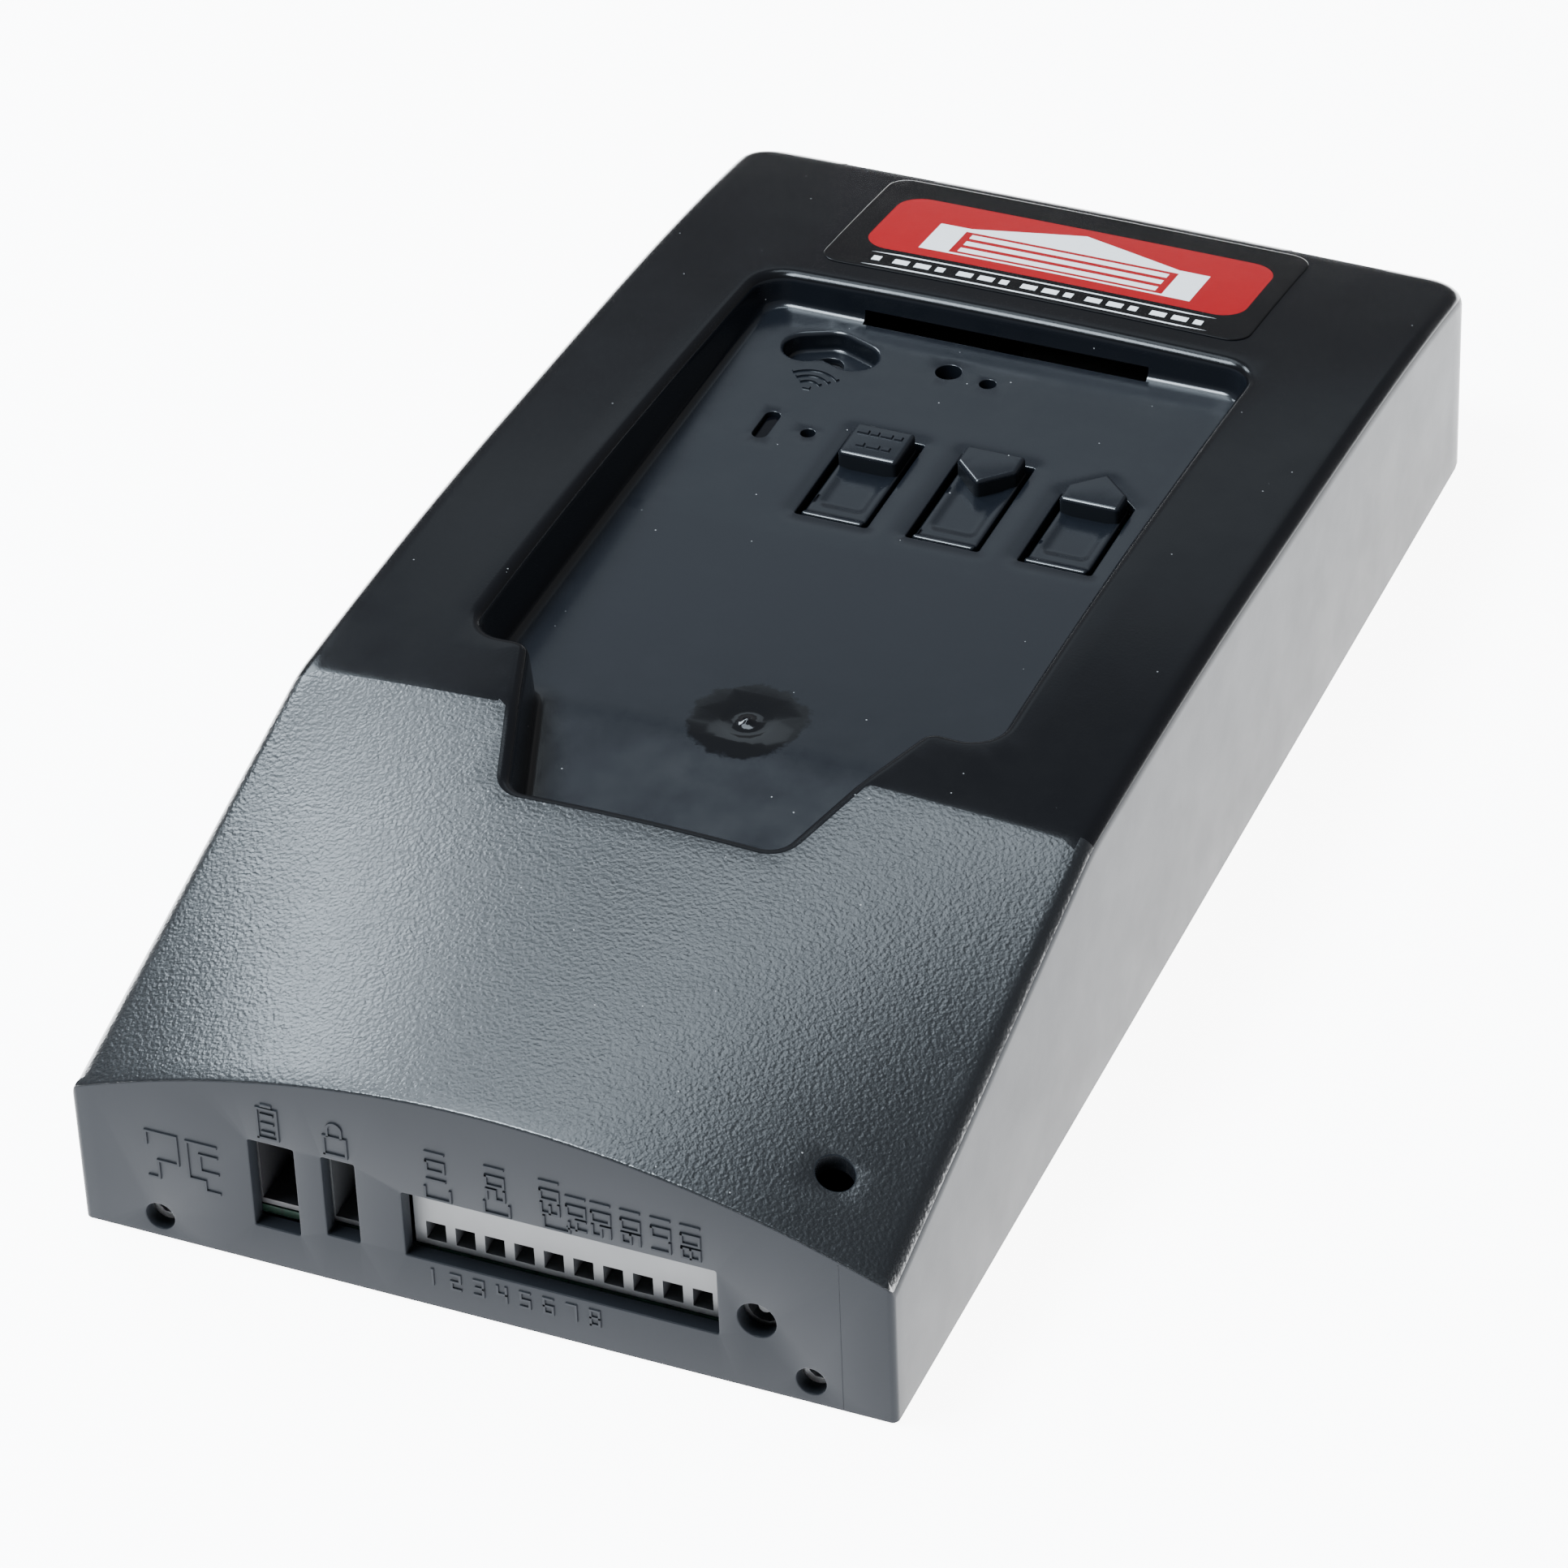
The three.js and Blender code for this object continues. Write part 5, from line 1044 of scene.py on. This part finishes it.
def build_label():
    skin = Skin()
    x0, x1, y0, y1 = LABEL
    outline = lambda grow: rounded(
        rectangle(x0 - grow, x1 + grow, y0 - grow, y1 + grow), LABEL_CORNER + grow, 8, [30, 16, 30, 16])
    rows = []
    for grow, rise in ((0, -0.05), (0, 0.12), (-0.12, 0.2), (-0.3, LABEL_RISE)):
        rows.append(skin.loop([(x, y, top_height(x, y) + rise) for x, y in outline(grow)]))
    for a, b in zip(rows, rows[1:]):
        skin.band(a, b, "film")
    bar = lambda ax, bx, ay, by: [(ax + (bx - ax) * k / 12, ay) for k in range(12)] + [
        (bx - (bx - ax) * k / 12, by) for k in range(12)]
    plate = rounded(rectangle(*LABEL_PLATE), 5, 8, [26, 8, 26, 8])
    marks = [(plate, "red")]
    cx, cy = LABEL_DOOR
    door = [(cx - 26, cy - 8.6), (cx + 26, cy - 8.6), (cx + 26, cy + 2.6), (cx + 20, cy + 2.6),
            (cx, cy + 8.8), (cx - 20, cy + 2.6), (cx - 26, cy + 2.6)]
    marks.append((divided(door, 3), "white"))
    marks.append((divided(rectangle(cx - 20.5, cx + 20.5, cy - 8.0, cy + 1.2), 3), "red"))
    for k in range(3):
        z = cy - 7.2 + 2.9 * k
        marks.append((divided(rectangle(cx - 19, cx + 19, z, z + 1.7), 3), "white"))
    marks += [(bar(-31.5, 34.5, *rule), "white") for rule in LABEL_RULES]
    for k in range(16):
        x = -30.3 + 4.1 * k
        long = 2.9 if k % 3 else 1.6
        marks.append((rectangle(x, x + long, 100.5, 102.3), "white"))
    spots = grid(x0 + 1, x1 - 1, y0 + 1, y1 - 1, 3)
    lift = lambda u, v: (u, v, top_height(u, v) + LABEL_RISE)
    skin.patch([rows[-1]], flat, lift, "film", spots, marks)
    skin.patch([rows[0]], flat, lambda u, v: (u, v, top_height(u, v) - 0.05), "film", spots)
    looks = {"film": LOOKS["label_film"], "red": LOOKS["label_red"], "white": LOOKS["label_white"]}
    skin.build("label_print", looks, "housing", ["label"])


build_label()

# ---- Other CAD nodes keep their shape and take the look of their slot ------------------
for part in frame["record"]["subparts"]:
    node = frame["nodes"][part["node"]]
    node.data.materials.clear()
    node.data.materials.append(SLOT_LOOKS[part["material_slot"]])
    edges = node.modifiers.new("edges", "BEVEL")
    edges.width = 0.00015
    edges.segments = 3
    edges.limit_method = "ANGLE"
    edges.angle_limit = math.radians(38)
    edges.harden_normals = True


# ---- Floor, light and camera ---------------------------------------------------------
FLOOR_GLOW = 9
WORLD_STRENGTH = 0.22
LIGHT_COLOUR = (0.78, 0.9, 1)
# Each light's place, aim and size in metres, and power in watts.
LIGHTS = {
    "key": ((-0.69, 0.46, 0.69), (-0.02, -0.1, 0.045), (0.26, 0.26), 4.4),
    "overhead": ((-0.36, -0.28, 1.1), (0, 0, 0.04), (0.5, 0.4), 30),
    "window": ((-0.29, 0.35, 1.06), (-0.02, -0.1, 0.045), (0.56, 0.4), 4.2),
    "low_window": ((-0.42, 1.15, 0.75), (0, 0, 0.05), (0.7, 0.3), 0.4),
}
CAMERA_PLACE = (0.38927, -0.88802, 0.74926)
CAMERA_TURN = (52.4812, 1.9077, 22.5787)
CAMERA_LENS = 163.3


def stage_floor():
    mesh = bpy.data.meshes.new("floor")
    reach = 6
    mesh.from_pydata([(x, y, 0) for x, y in rectangle(-reach, reach, -reach, reach)], [], [(0, 1, 2, 3)])
    material, nodes, links = new_material("pale_floor")
    shader = shader_of(nodes)
    shader.inputs["Base Color"].default_value = (0.9, 0.9, 0.9, 1)
    shader.inputs["Roughness"].default_value = 0.9
    shader.inputs["Emission Color"].default_value = (1, 1, 1, 1)
    coords = nodes.new("ShaderNodeTexCoord").outputs["Object"]
    away = nodes.new("ShaderNodeVectorMath")
    away.operation = "LENGTH"
    links.new(coords, away.inputs[0])
    glow = ramp(nodes, links, away.outputs["Value"], FLOOR_GLOW, 0.2, 0.5, 1.3)
    links.new(glow, shader.inputs["Emission Strength"])
    mesh.materials.append(material)
    floor = bpy.data.objects.new("floor", mesh)
    floor.location.z = -0.0002
    bpy.context.scene.collection.objects.link(floor)


def area_light(name, place, aim, size, power):
    data = bpy.data.lights.new(name, "AREA")
    data.shape = "RECTANGLE"
    data.size, data.size_y = size
    data.energy = power
    data.color = LIGHT_COLOUR
    light = bpy.data.objects.new(name, data)
    light.location = place
    light.rotation_mode = "QUATERNION"
    light.rotation_quaternion = (Vector(aim) - Vector(place)).to_track_quat("-Z", "Y")
    bpy.context.scene.collection.objects.link(light)


def light_scene():
    world = bpy.data.worlds.new("studio")
    world.use_nodes = True
    background = world.node_tree.nodes["Background"]
    background.inputs["Color"].default_value = (1, 1, 1, 1)
    background.inputs["Strength"].default_value = WORLD_STRENGTH
    bpy.context.scene.world = world
    for name, (place, aim, size, power) in LIGHTS.items():
        area_light(name, place, aim, size, power)


def place_camera():
    data = bpy.data.cameras.new("camera")
    data.lens = CAMERA_LENS
    data.sensor_width = 36
    data.clip_start, data.clip_end = 0.05, 30
    camera = bpy.data.objects.new("camera", data)
    camera.location = CAMERA_PLACE
    camera.rotation_euler = [math.radians(a) for a in CAMERA_TURN]
    bpy.context.scene.collection.objects.link(camera)
    bpy.context.scene.camera = camera


stage_floor()
light_scene()
place_camera()
